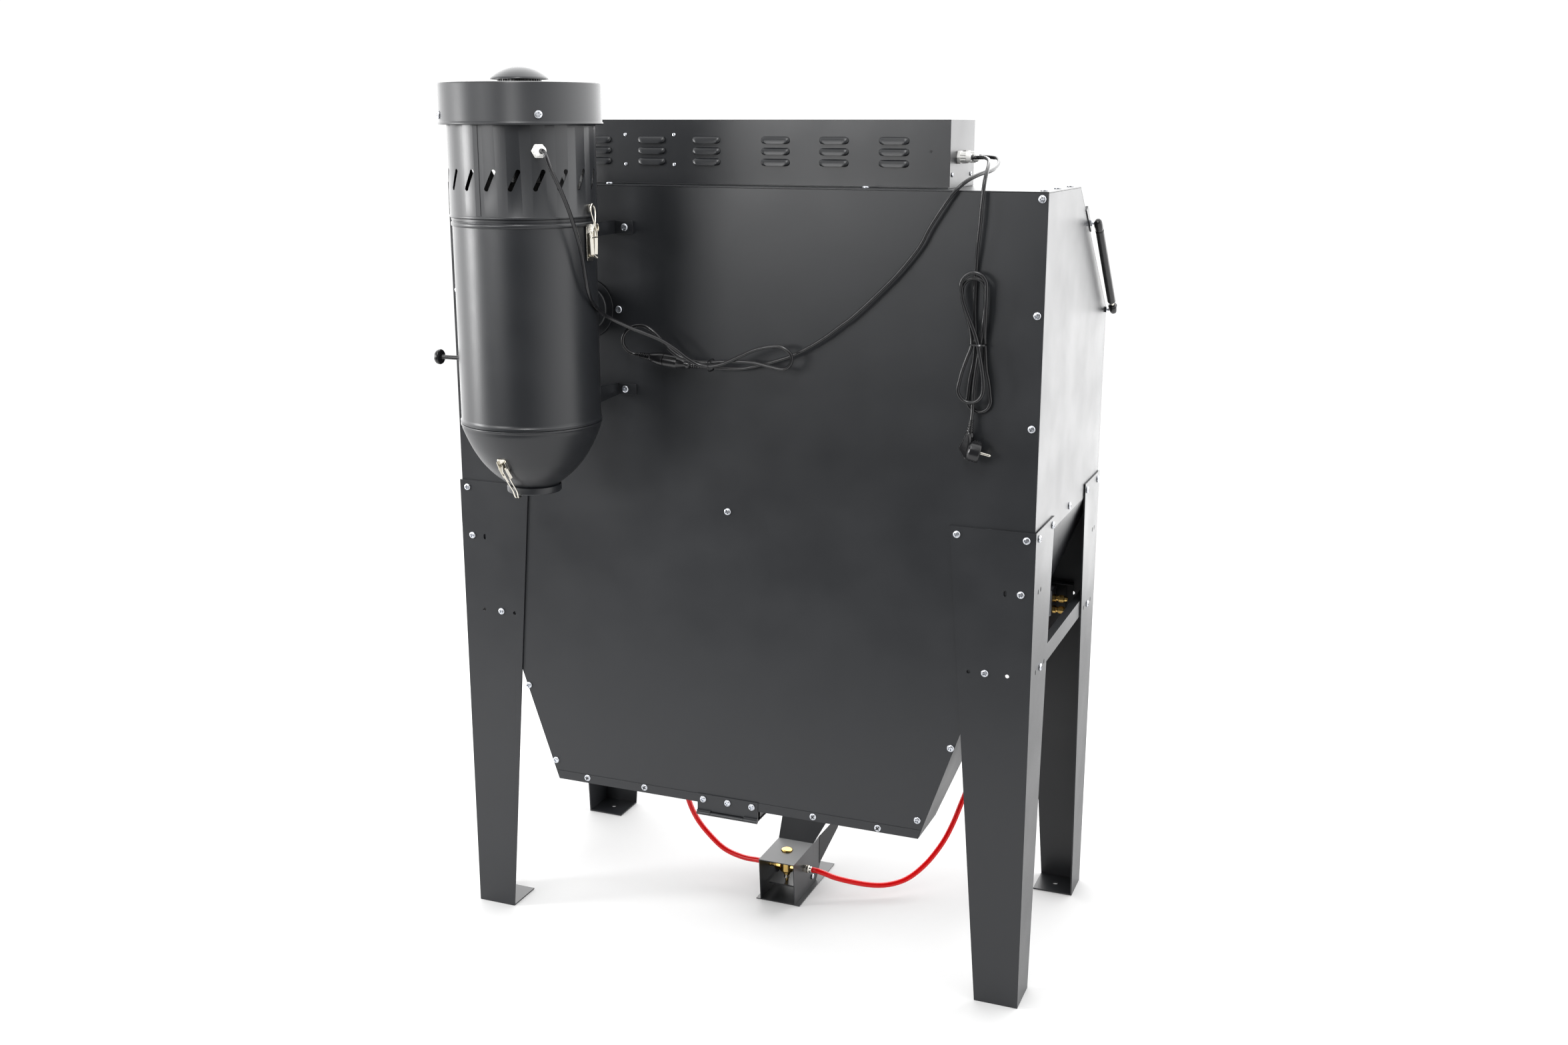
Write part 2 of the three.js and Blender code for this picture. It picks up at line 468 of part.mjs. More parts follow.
function addCollector() {
  const { x, y, radius, wall, low, joint, top } = collector;
  const inner = radius - wall;
  const body = turned([[0, low], [radius, low], [radius, joint - 8], [radius + 1.5, joint - 5],
    [radius + 1.5, joint], [0, joint]], 40, x, y);
  const hollow = turned([[0, low - 5], [inner, low - 5], [inner, joint + 5], [0, joint + 5]], 40, x, y);
  const spigot = bar([x, -4, duct.z], [x, y - 90, duct.z], duct.radius, 32);
  const flange = bar([x, gap, duct.z], [x, gap + 2.5, duct.z], duct.flange, 32);
  const arms = [1470, 1160].flatMap((z) => [-1, 1].flatMap((s) => [
    block(x + s * 64, x + s * 66.5, gap, 118, z - 12.5, z + 12.5),
    block(x + s * 64, x + s * 104, gap, gap + 2.5, z - 12.5, z + 12.5)]));
  const latchBase = block(latch.x + 2.5, latch.x + 10, y - 14, y + 14, 1425, 1490);
  const ledge = turned(ring(117, inner + 0.5, 1466, 1468), 40, x, y);
  const ductBore = bar([x, -10, duct.z], [x, y - 60, duct.z], duct.radius - wall, 32);
  const rodHole = bar([x + 110, knob.y, knob.z], [x + 140, knob.y, knob.z], 4.8, 12);
  const shell = carve(fuse(body, spigot, flange, latchBase, ...arms), hollow, ductBore, rodHole);
  add('collector_canister', fuse(shell, ledge), powderCoat);

  const slots = Array.from({ length: head.slots }, (_, i) => {
    const angle = THREE.MathUtils.degToRad(114.2 + (i * 360) / head.slots);
    return pushed(slotOutline(0, 0, head.slotWide, head.slotTall, head.slotLean), [], 20,
      basis([-Math.sin(angle), Math.cos(angle), 0], [0, 0, 1], [Math.cos(angle), Math.sin(angle), 0],
        [x + (head.radius - 10) * Math.cos(angle), y + (head.radius - 10) * Math.sin(angle), head.slotZ]));
  });
  const headLow = joint + gap;
  const headTop = top - 1.8;
  const headShell = turned([[125.5, headLow], [head.radius, headLow], [head.radius, headTop],
    [head.radius - 1.5, headTop], [head.radius - 1.5, headLow + 3], [125.5, headLow + 3],
    [125.5, headLow]], 40, x, y);
  const motorLedge = turned(ring(120, head.radius - 1, 1632, 1634), 40, x, y);
  const glandAngle = THREE.MathUtils.degToRad(133.1);
  const glandWay = [Math.cos(glandAngle), Math.sin(glandAngle), 0];
  const onHead = (r) => [x + r * glandWay[0], y + r * glandWay[1], 1615];
  const hook = block(latch.x - 1, latch.x + 8, y - 2.5, y + 2.5, 1507, 1516.5);
  add('collector_head', carve(fuse(headShell, motorLedge, hook),
    bar(onHead(120), onHead(140), 8.2, 12), ...slots), powderCoat);
  add('collector_gland', gland(onHead(head.radius), glandWay), palePlastic);

  const dome = turned([[0, top + 6], [51, top + 6], [50, top + 9], [42, top + 17], [30, top + 24],
    [16, top + 27], [0, top + 28]], 32, x, y);
  const domeHollow = turned([[0, top - 5], [34, top - 5], [34, top + 16], [18, top + 22],
    [0, top + 23]], 32, x, y);
  const vents = Array.from({ length: 8 }, (_, i) => {
    const angle = (Math.PI * i) / 8;
    const end = (s) => [x + s * 45 * Math.cos(angle), y + s * 45 * Math.sin(angle), top + 3];
    return bar(end(-1), end(1), 2.2, 6);
  });
  const neck = turned([[0, top - 1], [38, top - 1], [38, top + 8], [0, top + 8]], 32, x, y);
  const crown = turned([[0, 1650], [141, 1650], [141, top - 1.5], [0, top - 1.5]], 40, x, y);
  const band = turned([[0, 1658], [144.5, 1658], [144.5, 1661], [142.5, 1662], [142.5, top],
    [0, top]], 40, x, y);
  add('collector_lid', carve(fuse(band, neck, dome), crown, domeHollow, ...vents), powderCoat);

  const bowl = [[128.5, low - gap], [128.5, low - 5], [126, 1120], [120, 1105], [110, 1083],
    [95, 1058], [75, 1035], [50, 1014], [46, 1012], [46, 1004]];
  const bowlInside = [[44, 1004], [44, 1013], [73, 1037], [93, 1060], [108, 1085], [118, 1107],
    [124, 1121], [124, low - gap]];
  const bowlShell = turned([...bowl, ...bowlInside, bowl[0]], 40, x, y);
  const pad = block(bowlLatch.x - 7, bowlLatch.x + 7, y + 85, y + 103.8, 1059, 1071);
  const scoop = turned([[0, 1050], [91, 1050], [107, 1081], [0, 1081]], 40, x, y);
  add('dust_bowl', fuse(bowlShell, carve(pad, scoop)), powderCoat);
  add('dust_cap', turned([[0, 998], [50, 998], [50, 1011], [46.5, 1011], [46.5, 1000.5],
    [0, 1000.5]], 40, x, y), powderCoat);
  add('filter_cartridge', turned([[0, 1190], [92, 1190], [92, 1468.3], [119.5, 1468.3],
    [119.5, 1471], [45, 1471], [45, 1196], [0, 1196]], 32, x, y), filterPaper);

  const plate = turned([[0, 1634.3], [128, 1634.3], [128, 1636.3], [0, 1636.3]], 40, x, y);
  const can = bar([x, y, 1560], [x, y, 1635], 42, 24);
  const shaft = bar([x, y, 1528], [x, y, 1561], 4, 12);
  const airHoles = [45, 135, 225, 315].map((degrees) => {
    const angle = THREE.MathUtils.degToRad(degrees);
    const centre = (z) => [x + 82 * Math.cos(angle), y + 82 * Math.sin(angle), z];
    return bar(centre(1630), centre(1640), 26, 16);
  });
  add('fan_motor', carve(fuse(plate, can, shaft), ...airHoles), blackPlastic);
  const hub = bar([x, y, 1530], [x, y, 1556], 11, 16);
  const disc = turned([[0, 1535], [98, 1535], [98, 1537], [0, 1537]], 40, x, y);
  const blades = Array.from({ length: 8 }, (_, i) => block(30, 96, -1, 1, 1512, 1536)
    .rotateZ((Math.PI * i) / 4).translate(x, y, 0));
  add('fan_impeller', carve(fuse(hub, disc, ...blades),
    bar([x, y, 1520], [x, y, 1560], 4.4, 12)), nickel);

  const along = (from, to, r, n) => bar([from, knob.y, knob.z], [to, knob.y, knob.z], r, n);
  add('shaker_rod', fuse(along(knob.inner, knob.inner + 6, 12, 16),
    along(knob.inner + 5, knob.outer - 13, 4, 12), along(knob.outer - 14, knob.outer - 3, 14, 20),
    along(knob.outer - 4, knob.outer, 11, 20)), blackPlastic);
}

function addLatches() {
  const { x, y, pivot, tip, hook } = latch;
  add('upper_latch_lever', fuse(block(x - 2, x + 1.2, y - 10, y + 10, tip, pivot + 1.6),
    block(x - 6, x - 1, y - 7, y + 7, tip, tip + 6)), nickel);
  const wire = tubeAlong([[x - 4.5, y - 11, 1466], [x - 4.5, y - 8, 1495], [x - 3, y - 6, 1515],
    [x + 1, y, hook], [x - 3, y + 6, 1515], [x - 4.5, y + 8, 1495], [x - 4.5, y + 11, 1466]],
  1.5, 8, 16);
  add('upper_latch_bail', fuse(wire, bar([x - 4.5, y - 12, 1466], [x - 4.5, y + 12, 1466], 1.5, 8)),
    nickel);
  const centre = collector.y;
  const claw = [[108, 1067], [108, 1056.8], [66, 1008.5], [60.5, 993.4], [42, 993.4], [42, 997],
    [57.5, 997], [62.5, 1010], [104.6, 1058.8], [104.6, 1067]].map(([r, z]) => [centre + r, z]);
  add('lower_latch_lever', plateYZ(claw, bowlLatch.x - 5, bowlLatch.x + 5), nickel);
}

function addPedal() {
  const { x0, x1, back, front, left, right, top } = pedal;
  const middle = (left + right) / 2;
  add('pedal_base', block(x0, x1, front, back, 0, sheet), powderCoat);
  const side = [[back, sheet + gap], [-217, top], [-335, top], [-347, top - 2], [-385, top - 1],
    [-385, 34], [-357, sheet + gap]];
  const fold = -335;
  const flare = 22;
  const ramp = plateFrom([
    [left, fold, top - sheet], [right, fold, top - sheet],
    [right + flare, -430, 156], [left - flare, -430, 156]].reverse(), sheet);
  const wings = [[left, -1], [right, 1]].map(([x, s]) => {
    const root = x - s * 1.2;
    const corners = [[root, -376, 34], [root + s * 20, -440, 97], [root + s * 24.7, -455, 130],
      [root, -376, top - 1]];
    return plateFrom(s < 0 ? corners : corners.reverse(), sheet);
  });
  const holes = [bar([left - 9, valve.y, valve.portZ], [right + 9, valve.y, valve.portZ], 8.6, 12),
    bar([left - 9, treadlePivot.y, treadlePivot.z], [right + 9, treadlePivot.y, treadlePivot.z], 4.5,
      12), bar([valve.x, valve.y, top - 9], [valve.x, valve.y, top + 9], 13.5, 20)];
  add('pedal_hood', carve(fuse(plateYZ(side, left, left + sheet), plateYZ(side, right - sheet, right),
    block(left, right, fold, -217, top - sheet, top), ramp, ...wings), ...holes), powderCoat);

  const { y, z } = treadlePivot;
  add('treadle', fuse(
    block(middle - 35, middle + 35, -345, -262, z + 2, z + 5),
    plateFrom([[middle - 35, -344, z + 2], [middle + 35, -344, z + 2],
      [middle + 35, front + 6, z + 32], [middle - 35, front + 6, z + 32]].reverse(), 3),
    bar([left - 3, y, z], [right + 3, y, z], 4, 12)), powderCoat);

  const at = (d) => [valve.x, valve.y, d];
  const nipple = (from, to, r) => bar([from, valve.y, valve.portZ], [to, valve.y, valve.portZ], r, 12);
  add('pedal_valve', carve(fuse(bar(at(50), at(96), 14, 20), bar(at(95), at(104), 12, 20),
    nipple(left - 18, right + 18, 5), nipple(left - 6, right + 6, 8)),
  bar(at(45), at(90), 4.7, 12)), brass);
  add('valve_plunger', bar(at(z + 6), at(82), 4, 12), brass);
}

function addAirManifold() {
  const face = -depth + gap + sheet + gap;
  const along = (z) => bar([-524, -543, z], [-556, -543, z], 7, 12);
  add('air_manifold', fuse(block(-545, -455, face, face + 3, 618, 690),
    block(-525, -475, face + 2, -528, 630, 688), along(668), along(643),
    bar([-500, -543, 612], [-500, -543, 631], 7, 12)), brass);
}

function addGunAndGloves() {
  const z = 922.6;
  add('blast_gun', fuse(bar([-60, -300, z], [60, -300, z], 16), bar([58, -300, z], [105, -300, z], 9),
    bar([-25, -300, z], [-45, -395, z], 13)), zinc);
  for (const [side, s] of sides) {
    const x = s * port.x;
    const cuff = -depth + sheet + gap;
    const path = [[x, cuff + 1, port.z], [x, cuff + 36, port.z], [x, cuff + 72, port.z],
      [x - s * 5, cuff + 118, 1092], [x - s * 14, cuff + 152, 1048], [x - s * 20, cuff + 170, 1000]];
    const sleeve = tubeAlong(path, 62, 16, 8);
    const inside = tubeAlong([[x, cuff - 9, port.z], ...path.slice(0, 5),
      [x - s * 19, cuff + 167, 1010]], 59, 16, 9);
    const hand = ellipsoid([x - s * 22, cuff + 180, 967], [54, 66, 40], 16, 8);
    const rim = bar([x, cuff, port.z], [x, cuff + 6, port.z], 84, 24);
    add(`glove_${side}`, fuse(carve(fuse(sleeve, rim), inside), hand), blackRubber);
  }
}

function addCords() {
  const { mains, collector: fromCollector, lamp, leftHose, rightHose } = leadRoutes;
  add('mains_cord', tubeAlong(mains, cord, 8, 20), blackPlastic);
  const hankX = -483.5;
  const [hankTop, hankLow, hankHalf] = [1415, 1151.5, 32];
  const round = (z, start) => [0, 1, 2, 3, 4, 5, 6].map((i) => {
    const angle = start + (Math.PI * i) / 6;
    return [hankX + hankHalf * Math.cos(angle), z + hankHalf * Math.sin(angle)];
  });
  add('mains_hank', plateXZ([...round(hankTop - hankHalf, 0), ...round(hankLow + hankHalf, Math.PI)],
    1.3, 31), blackPlastic);

  const plugFace = [-500, 22, 1091.9];
  const plugWay = [-0.95, -0.194, -0.245];
  const pinRow = [0.246, -0.949, -0.197];
  const plugPoint = (forward, aside) =>
    plugFace.map((value, i) => value + plugWay[i] * forward + pinRow[i] * aside);
  const wedge = [[-476, 14, 1131], [-463, 14, 1100.4], [-474.7, 14, 1080.1], [-484.5, 14, 1115],
    [-483, 14, 1131]];
  add('mains_plug', fuse(bar([-481.5, 20, 1150], [-479.4, 23, 1125], 6, 12), plateFrom(wedge, 20),
    bar(plugPoint(-22, 0), plugPoint(0, 0), 19, 20), bar(plugPoint(-1, 9.5), plugPoint(19, 9.5), 2.4, 10),
    bar(plugPoint(-1, -9.5), plugPoint(19, -9.5), 2.4, 10)), blackPlastic);

  add('collector_lead', tubeAlong(fromCollector, cord, 8, 76), blackPlastic);
  const [start, end] = [fromCollector.at(-1), lamp[0]];
  const along = (t) => start.map((value, i) => value + (end[i] - value) * t);
  add('lead_connector', fuse(bar(along(0.003), along(0.2), 6, 12), bar(along(0.19), along(0.52), 12, 12),
    bar(along(0.51), along(0.8), 13, 12), bar(along(0.79), along(0.997), 6, 12)), blackPlastic);
  add('lamp_lead', tubeAlong(lamp, cord, 8, 48), blackPlastic);
  add('left_hose', tubeAlong(leftHose, hose, 10, 36), redHose);
  add('right_hose', tubeAlong(rightHose, hose, 10, 28), redHose);
}

addPanels();
addHopper();
addCleanout();
addLegs();
addGrate();
addLid();
addStruts();
addLightBox();
addCollector();
addLatches();
addPedal();
addAirManifold();
addGunAndGloves();
addCords();

// The footprint's centre: from the front legs' outer face to the collector lid's rolled lip.
const footprintFront = -depth - gap - leg.thick;
const footprintBack = collector.y + 144.5;
cabinet.position.y = -(footprintFront + footprintBack) / 2;

const blastCabinet = new THREE.Group();
blastCabinet.add(cabinet);

export default blastCabinet;
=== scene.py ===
"""Look of an abrasive-blast cabinet: materials, hardware, leads and stage around its CAD frame."""

import json
import math

import bmesh
import bpy
from mathutils import Matrix, Vector


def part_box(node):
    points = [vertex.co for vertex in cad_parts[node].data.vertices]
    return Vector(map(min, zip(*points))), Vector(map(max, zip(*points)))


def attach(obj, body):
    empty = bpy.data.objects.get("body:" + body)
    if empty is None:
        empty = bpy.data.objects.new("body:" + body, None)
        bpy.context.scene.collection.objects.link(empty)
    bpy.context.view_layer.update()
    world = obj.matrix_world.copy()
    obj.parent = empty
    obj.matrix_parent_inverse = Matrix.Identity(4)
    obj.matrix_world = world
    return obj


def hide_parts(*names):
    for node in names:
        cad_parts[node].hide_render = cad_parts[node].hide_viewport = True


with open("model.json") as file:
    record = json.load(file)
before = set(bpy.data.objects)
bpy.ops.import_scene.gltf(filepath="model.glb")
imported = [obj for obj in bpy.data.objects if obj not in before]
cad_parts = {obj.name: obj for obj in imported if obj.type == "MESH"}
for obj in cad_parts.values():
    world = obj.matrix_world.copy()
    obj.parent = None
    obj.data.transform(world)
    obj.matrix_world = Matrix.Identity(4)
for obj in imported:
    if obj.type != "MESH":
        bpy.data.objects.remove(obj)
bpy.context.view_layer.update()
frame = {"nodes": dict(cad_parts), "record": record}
NODES = frame["nodes"]
SLOT_OF = {s["node"]: s["material_slot"] for s in frame["record"]["subparts"]}
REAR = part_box("rear_panel")[1].y          # outer face of the rear panel
MM = 0.001
scene = bpy.context.scene
scene.view_settings.view_transform = "Standard"


def at(x, y, z):
    """A point from millimetres, with y measured from the rear panel's outer face."""
    return Vector((x * MM, REAR + y * MM, z * MM))


# ---- Camera -----------------------------------------------------------------------------------
YAW, PITCH, ROLL = 0.3806, -0.2451, 0.0013
LENS, SENSOR = 36.52, 36.0

forward = Vector((math.sin(YAW) * math.cos(PITCH), -math.cos(YAW) * math.cos(PITCH), math.sin(PITCH)))
sideways = Vector((-math.cos(YAW), -math.sin(YAW), 0))
upward = sideways.cross(forward)
camera = bpy.data.objects.new("camera", bpy.data.cameras.new("camera"))
camera.data.lens = LENS
camera.data.sensor_width = SENSOR
camera.matrix_world = (Matrix.Translation(at(-1207.5, 2730.1, 1658.7))
                       @ Matrix((sideways, upward, -forward)).transposed().to_4x4()
                       @ Matrix.Rotation(ROLL, 4, "Z"))
scene.collection.objects.link(camera)
scene.camera = camera


# ---- Materials --------------------------------------------------------------------------------
def surface(name, color, rough, metal=0.0, tint=0.15, grain=900.0, bump=0.12, spread=0.06,
            coat=0.0, transmission=0.0, stretch=(1, 1, 1), smudge=9.0, specular=0.5):
    """A Principled surface whose colour, roughness and relief vary with two scales of noise."""
    made = bpy.data.materials.new(name)
    made.use_nodes = True
    tree = made.node_tree
    tree.nodes.clear()
    new, link = tree.nodes.new, tree.links.new
    output, shader = new("ShaderNodeOutputMaterial"), new("ShaderNodeBsdfPrincipled")
    link(shader.outputs[0], output.inputs["Surface"])
    shader.inputs["Metallic"].default_value = metal
    shader.inputs["Coat Weight"].default_value = coat
    shader.inputs["Coat Roughness"].default_value = 0.12
    shader.inputs["Transmission Weight"].default_value = transmission
    shader.inputs["IOR"].default_value = 1.5
    shader.inputs["Specular IOR Level"].default_value = specular
    place, scale = new("ShaderNodeTexCoord"), new("ShaderNodeMapping")
    scale.inputs["Scale"].default_value = stretch
    link(place.outputs["Object"], scale.inputs["Vector"])
    noises = {}
    for key, size, detail in (("fine", grain, 2.0), ("broad", smudge, 4.0)):
        node = new("ShaderNodeTexNoise")
        node.inputs["Scale"].default_value = size
        node.inputs["Detail"].default_value = detail
        link((scale if key == "fine" else place).outputs[0 if key == "fine" else "Object"],
             node.inputs["Vector"])
        noises[key] = node.outputs["Fac"]
    hue = new("ShaderNodeMix")
    hue.data_type = "RGBA"
    for index, gain in ((6, 1 - tint), (7, 1 + tint)):
        hue.inputs[index].default_value = (*[min(c * gain, 1) for c in color], 1)
    link(noises["broad"], hue.inputs[0])
    link(hue.outputs[2], shader.inputs["Base Color"])
    mixed = new("ShaderNodeMath")
    mixed.operation = "ADD"
    link(noises["fine"], mixed.inputs[0])
    link(noises["broad"], mixed.inputs[1])
    span = new("ShaderNodeMapRange")
    span.inputs["From Min"].default_value = 0.6
    span.inputs["From Max"].default_value = 1.4
    span.inputs["To Min"].default_value = max(rough - spread, 0.01)
    span.inputs["To Max"].default_value = rough + spread
    link(mixed.outputs[0], span.inputs["Value"])
    link(span.outputs[0], shader.inputs["Roughness"])
    relief = new("ShaderNodeBump")
    relief.inputs["Strength"].default_value = bump
    relief.inputs["Distance"].default_value = 0.0004
    link(noises["fine"], relief.inputs["Height"])
    link(relief.outputs[0], shader.inputs["Normal"])
    return made


COAT = surface("powder_coat", (0.012, 0.013, 0.015), 0.36, tint=0.12, grain=1400, bump=0.1)
MATERIALS = {
    "powder_coat": COAT,
    "zinc_plate": surface("zinc", (0.62, 0.64, 0.68), 0.3, metal=1, grain=500, bump=0.08),
    "nickel_plate": surface("nickel", (0.7, 0.67, 0.6), 0.2, metal=1, grain=700, bump=0.06),
    "brass": surface("brass", (0.68, 0.46, 0.15), 0.26, metal=1, grain=600, bump=0.1,
                     stretch=(1, 1, 6)),
    "black_plastic": surface("black_pvc", (0.008, 0.008, 0.009), 0.24, grain=1600, bump=0.15),
    "pale_plastic": surface("nylon", (0.74, 0.74, 0.72), 0.42, tint=0.04, grain=900, bump=0.1),
    "black_rubber": surface("rubber", (0.016, 0.016, 0.017), 0.62, grain=420, bump=0.35),
    "red_hose": surface("polyurethane", (0.66, 0.001, 0.002), 0.2, tint=0.05, grain=300,
                        bump=0.03, coat=0.1, specular=0.35),
    "clear_glass": surface("glass", (0.9, 0.96, 0.95), 0.03, tint=0.02, grain=6, transmission=1,
                           bump=0.002, spread=0.02),
    "filter_paper": surface("paper", (0.62, 0.55, 0.42), 0.85, grain=260, bump=0.5),
}
CERAMIC = surface("ceramic", (0.78, 0.76, 0.7), 0.3, tint=0.03, grain=800, bump=0.05)
FOAM = surface("foam", (0.01, 0.01, 0.01), 0.95, grain=700, bump=0.8, specular=0.2)
FROSTED = surface("frosted_glass", (0.85, 0.87, 0.88), 0.35, tint=0.02, grain=900, bump=0.04)
CAST = surface("cast_alloy", (0.33, 0.34, 0.36), 0.5, metal=1, grain=320, bump=0.5)


# ---- Mesh making ------------------------------------------------------------------------------
def frame_at(point, normal, hint=(0, 0, 1), spin=0.0):
    """A placement whose local z is the normal and whose local y leans towards the hint."""
    z = Vector(normal).normalized()
    y = Vector(hint) - z * Vector(hint).dot(z)
    if y.length < 1e-4:
        y = Vector((0, 1, 0)) - z * z.y
    y.normalize()
    turn = Matrix((y.cross(z), y, z)).transposed().to_4x4()
    return Matrix.Translation(point) @ turn @ Matrix.Rotation(spin, 4, "Z") @ Matrix.Scale(MM, 4)


UPRIGHT = Matrix.Scale(MM, 4)


def upright(x, y):
    """A placement on the floor with its axes along the object's."""
    return Matrix.Translation(at(x, y, 0)) @ UPRIGHT


def soften(points, radius, steps=3, loop=False):
    """A polyline with its corners rounded."""
    out, count = [], len(points)
    for i, p in enumerate(points):
        if not loop and i in (0, count - 1):
            out.append(p)
            continue
        a, b, c = (Vector(points[j % count]) for j in (i - 1, i, i + 1))
        reach = min(radius, (a - b).length * 0.45, (c - b).length * 0.45)
        if reach < 1e-6:
            out.append(p)
            continue
        s, e = b + (a - b).normalized() * reach, b + (c - b).normalized() * reach
        out += [tuple(s.lerp(b, t).lerp(b.lerp(e, t), t)) for t in (k / steps for k in range(steps + 1))]
    return out


class Shape:
    """Collects closed solids, in millimetres, into one mesh."""

    def __init__(self):
        self.verts, self.faces = [], []

    def add(self, verts, faces, place=UPRIGHT):
        base = len(self.verts)
        self.verts += [place @ Vector(v) for v in verts]
        self.faces += [[base + i for i in f] for f in faces]
        return self

    def copy(self, other, place):
        return self.add(other.verts, other.faces, place)

    def lathe(self, profile, place=UPRIGHT, segs=64):
        """A profile of (radius, height), from axis to axis or closed on itself."""
        loop = profile[0] == profile[-1]
        ring = profile[:-1] if loop else profile
        verts, rows = [], []
        for r, z in ring:
            if r < 1e-6:
                rows.append([len(verts)] * segs)
                verts.append((0, 0, z))
            else:
                rows.append([len(verts) + i for i in range(segs)])
                verts += [(r * math.cos(2 * math.pi * i / segs), r * math.sin(2 * math.pi * i / segs), z)
                          for i in range(segs)]
        faces = []
        for j in range(len(rows) - (0 if loop else 1)):
            low, high = rows[j], rows[(j + 1) % len(rows)]
            for i in range(segs):
                k = (i + 1) % segs
                face = [low[i], low[k], high[k], high[i]]
                face = [v for n, v in enumerate(face) if v not in face[:n]]
                if len(face) > 2:
                    faces.append(face)
        return self.add(verts, faces, place)

    def prism(self, outline, z0, z1, place=UPRIGHT):
        n = len(outline)
        verts = [(x, y, z) for z in (z0, z1) for x, y in outline]
        faces = [list(range(n))[::-1], list(range(n, 2 * n))]
        faces += [[i, (i + 1) % n, n + (i + 1) % n, n + i] for i in range(n)]
        return self.add(verts, faces, place)

    def box(self, x0, x1, y0, y1, z0, z1, place=UPRIGHT):
        return self.prism([(x0, y0), (x1, y0), (x1, y1), (x0, y1)], z0, z1, place)

    def sweep(self, path, section, scales=None):
        """A section of (across, up) pairs carried along a path in metres, closed at both ends."""
        n, count = len(section), len(path)
        tangents = [(path[min(i + 1, count - 1)] - path[max(i - 1, 0)]).normalized()
                    for i in range(count)]
        normal = tangents[0].orthogonal().normalized()
        verts = []
        for i, (p, t) in enumerate(zip(path, tangents)):
            normal = (normal - t * normal.dot(t)).normalized()
            side = t.cross(normal)
            k = (scales[i] if scales else 1) * MM
            verts += [p + normal * (a * k) + side * (b * k) for a, b in section]
        faces = [list(range(n))[::-1], list(range((count - 1) * n, count * n))]
        faces += [[i * n + j, i * n + (j + 1) % n, (i + 1) * n + (j + 1) % n, (i + 1) * n + j]
                  for i in range(count - 1) for j in range(n)]
        return self.add(verts, faces, Matrix.Identity(4))

    def mesh(self, name):
        mesh = bpy.data.meshes.new(name)
        mesh.from_pydata([tuple(v) for v in self.verts], [], self.faces)
        work = bmesh.new()
        work.from_mesh(mesh)
        bmesh.ops.recalc_face_normals(work, faces=work.faces)
        work.to_mesh(mesh)
        work.free()
        return mesh


def shade(obj, mat, angle=32):
    obj.data.materials.clear()
    obj.data.materials.append(mat)
    obj.data.shade_smooth()
    obj.data.set_sharp_from_angle(angle=math.radians(angle))


def bevel(obj, width, angle=40):
    mod = obj.modifiers.new("edges", "BEVEL")
    mod.width, mod.segments = width * MM, 2
    mod.limit_method, mod.angle_limit = "ANGLE", math.radians(angle)
    mod.harden_normals = True


def piece(name, shape, slot, body="cabinet", mat=None, edge=0.0, angle=32, replaces=()):
    """One finished piece from a shape, on its CAD body. Its slot gives its material, unless mat does."""
    obj = bpy.data.objects.new(name, shape.mesh(name) if isinstance(shape, Shape) else shape)
    scene.collection.objects.link(obj)
    shade(obj, mat or MATERIALS[slot], angle)
    if edge:
        bevel(obj, edge)
    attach(obj, body)
    if replaces:
        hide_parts(*replaces)
    return obj


def carve(obj, cutter):
    """Cuts one shape out of an object for good."""
    tool = bpy.data.objects.new("tool", cutter.mesh("tool"))
    scene.collection.objects.link(tool)
    mod = obj.modifiers.new("cut", "BOOLEAN")
    mod.operation, mod.object, mod.solver = "DIFFERENCE", tool, "EXACT"
    bpy.context.view_layer.update()
    done = bpy.data.meshes.new_from_object(obj.evaluated_get(bpy.context.evaluated_depsgraph_get()))
    obj.modifiers.remove(mod)
    obj.data = done
    bpy.data.objects.remove(tool)
    return obj


def ring_of(radius, sides, start=0.0):
    return [(radius * math.cos(start + 2 * math.pi * i / sides),
             radius * math.sin(start + 2 * math.pi * i / sides)) for i in range(sides)]


def spline(points, per=8):
    """A smooth path through points."""
    out, count = [], len(points)
    for i in range(count - 1):
        p0, p1, p2, p3 = (points[min(max(i + k, 0), count - 1)] for k in (-1, 0, 1, 2))
        for s in range(per):
            t = s / per
            out.append(0.5 * ((2 * p1) + (p2 - p0) * t + (2 * p0 - 5 * p1 + 4 * p2 - p3) * t * t
                              + (3 * p1 - p0 - 3 * p2 + p3) * t ** 3))
    return out + [points[-1]]


# ---- Leads and hoses --------------------------------------------------------------------------
def lead(name, points, diameter, slot, replaces):
    """One smooth open curve of round section through points given in millimetres."""
    data = bpy.data.curves.new(name, "CURVE")
    data.dimensions = "3D"
    data.bevel_depth = diameter * MM / 2
    data.bevel_resolution = 4
    data.use_fill_caps = True
    path = spline([at(*p) for p in points], 6)
    strand = data.splines.new("POLY")
    strand.points.add(len(path) - 1)
    for spot, p in zip(strand.points, path):
        spot.co = (*p, 1)
    strand.use_smooth = True
    data.materials.append(MATERIALS[slot])
    obj = bpy.data.objects.new(name, data)
    scene.collection.objects.link(obj)
    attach(obj, "cabinet")
    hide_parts(*replaces)
    return obj, sum((b - a).length for a, b in zip(path, path[1:]))


TIE = 1284          # height of the tie round the hank


def fold(x, y, z, radius, start, stop, steps=8):
    """Points round one fold of a hank, in a plane parallel to the rear panel."""
    angles = [math.radians(start + (stop - start) * i / steps) for i in range(steps + 1)]
    return [(x + radius * math.cos(a), y, z + radius * math.sin(a)) for a in angles]


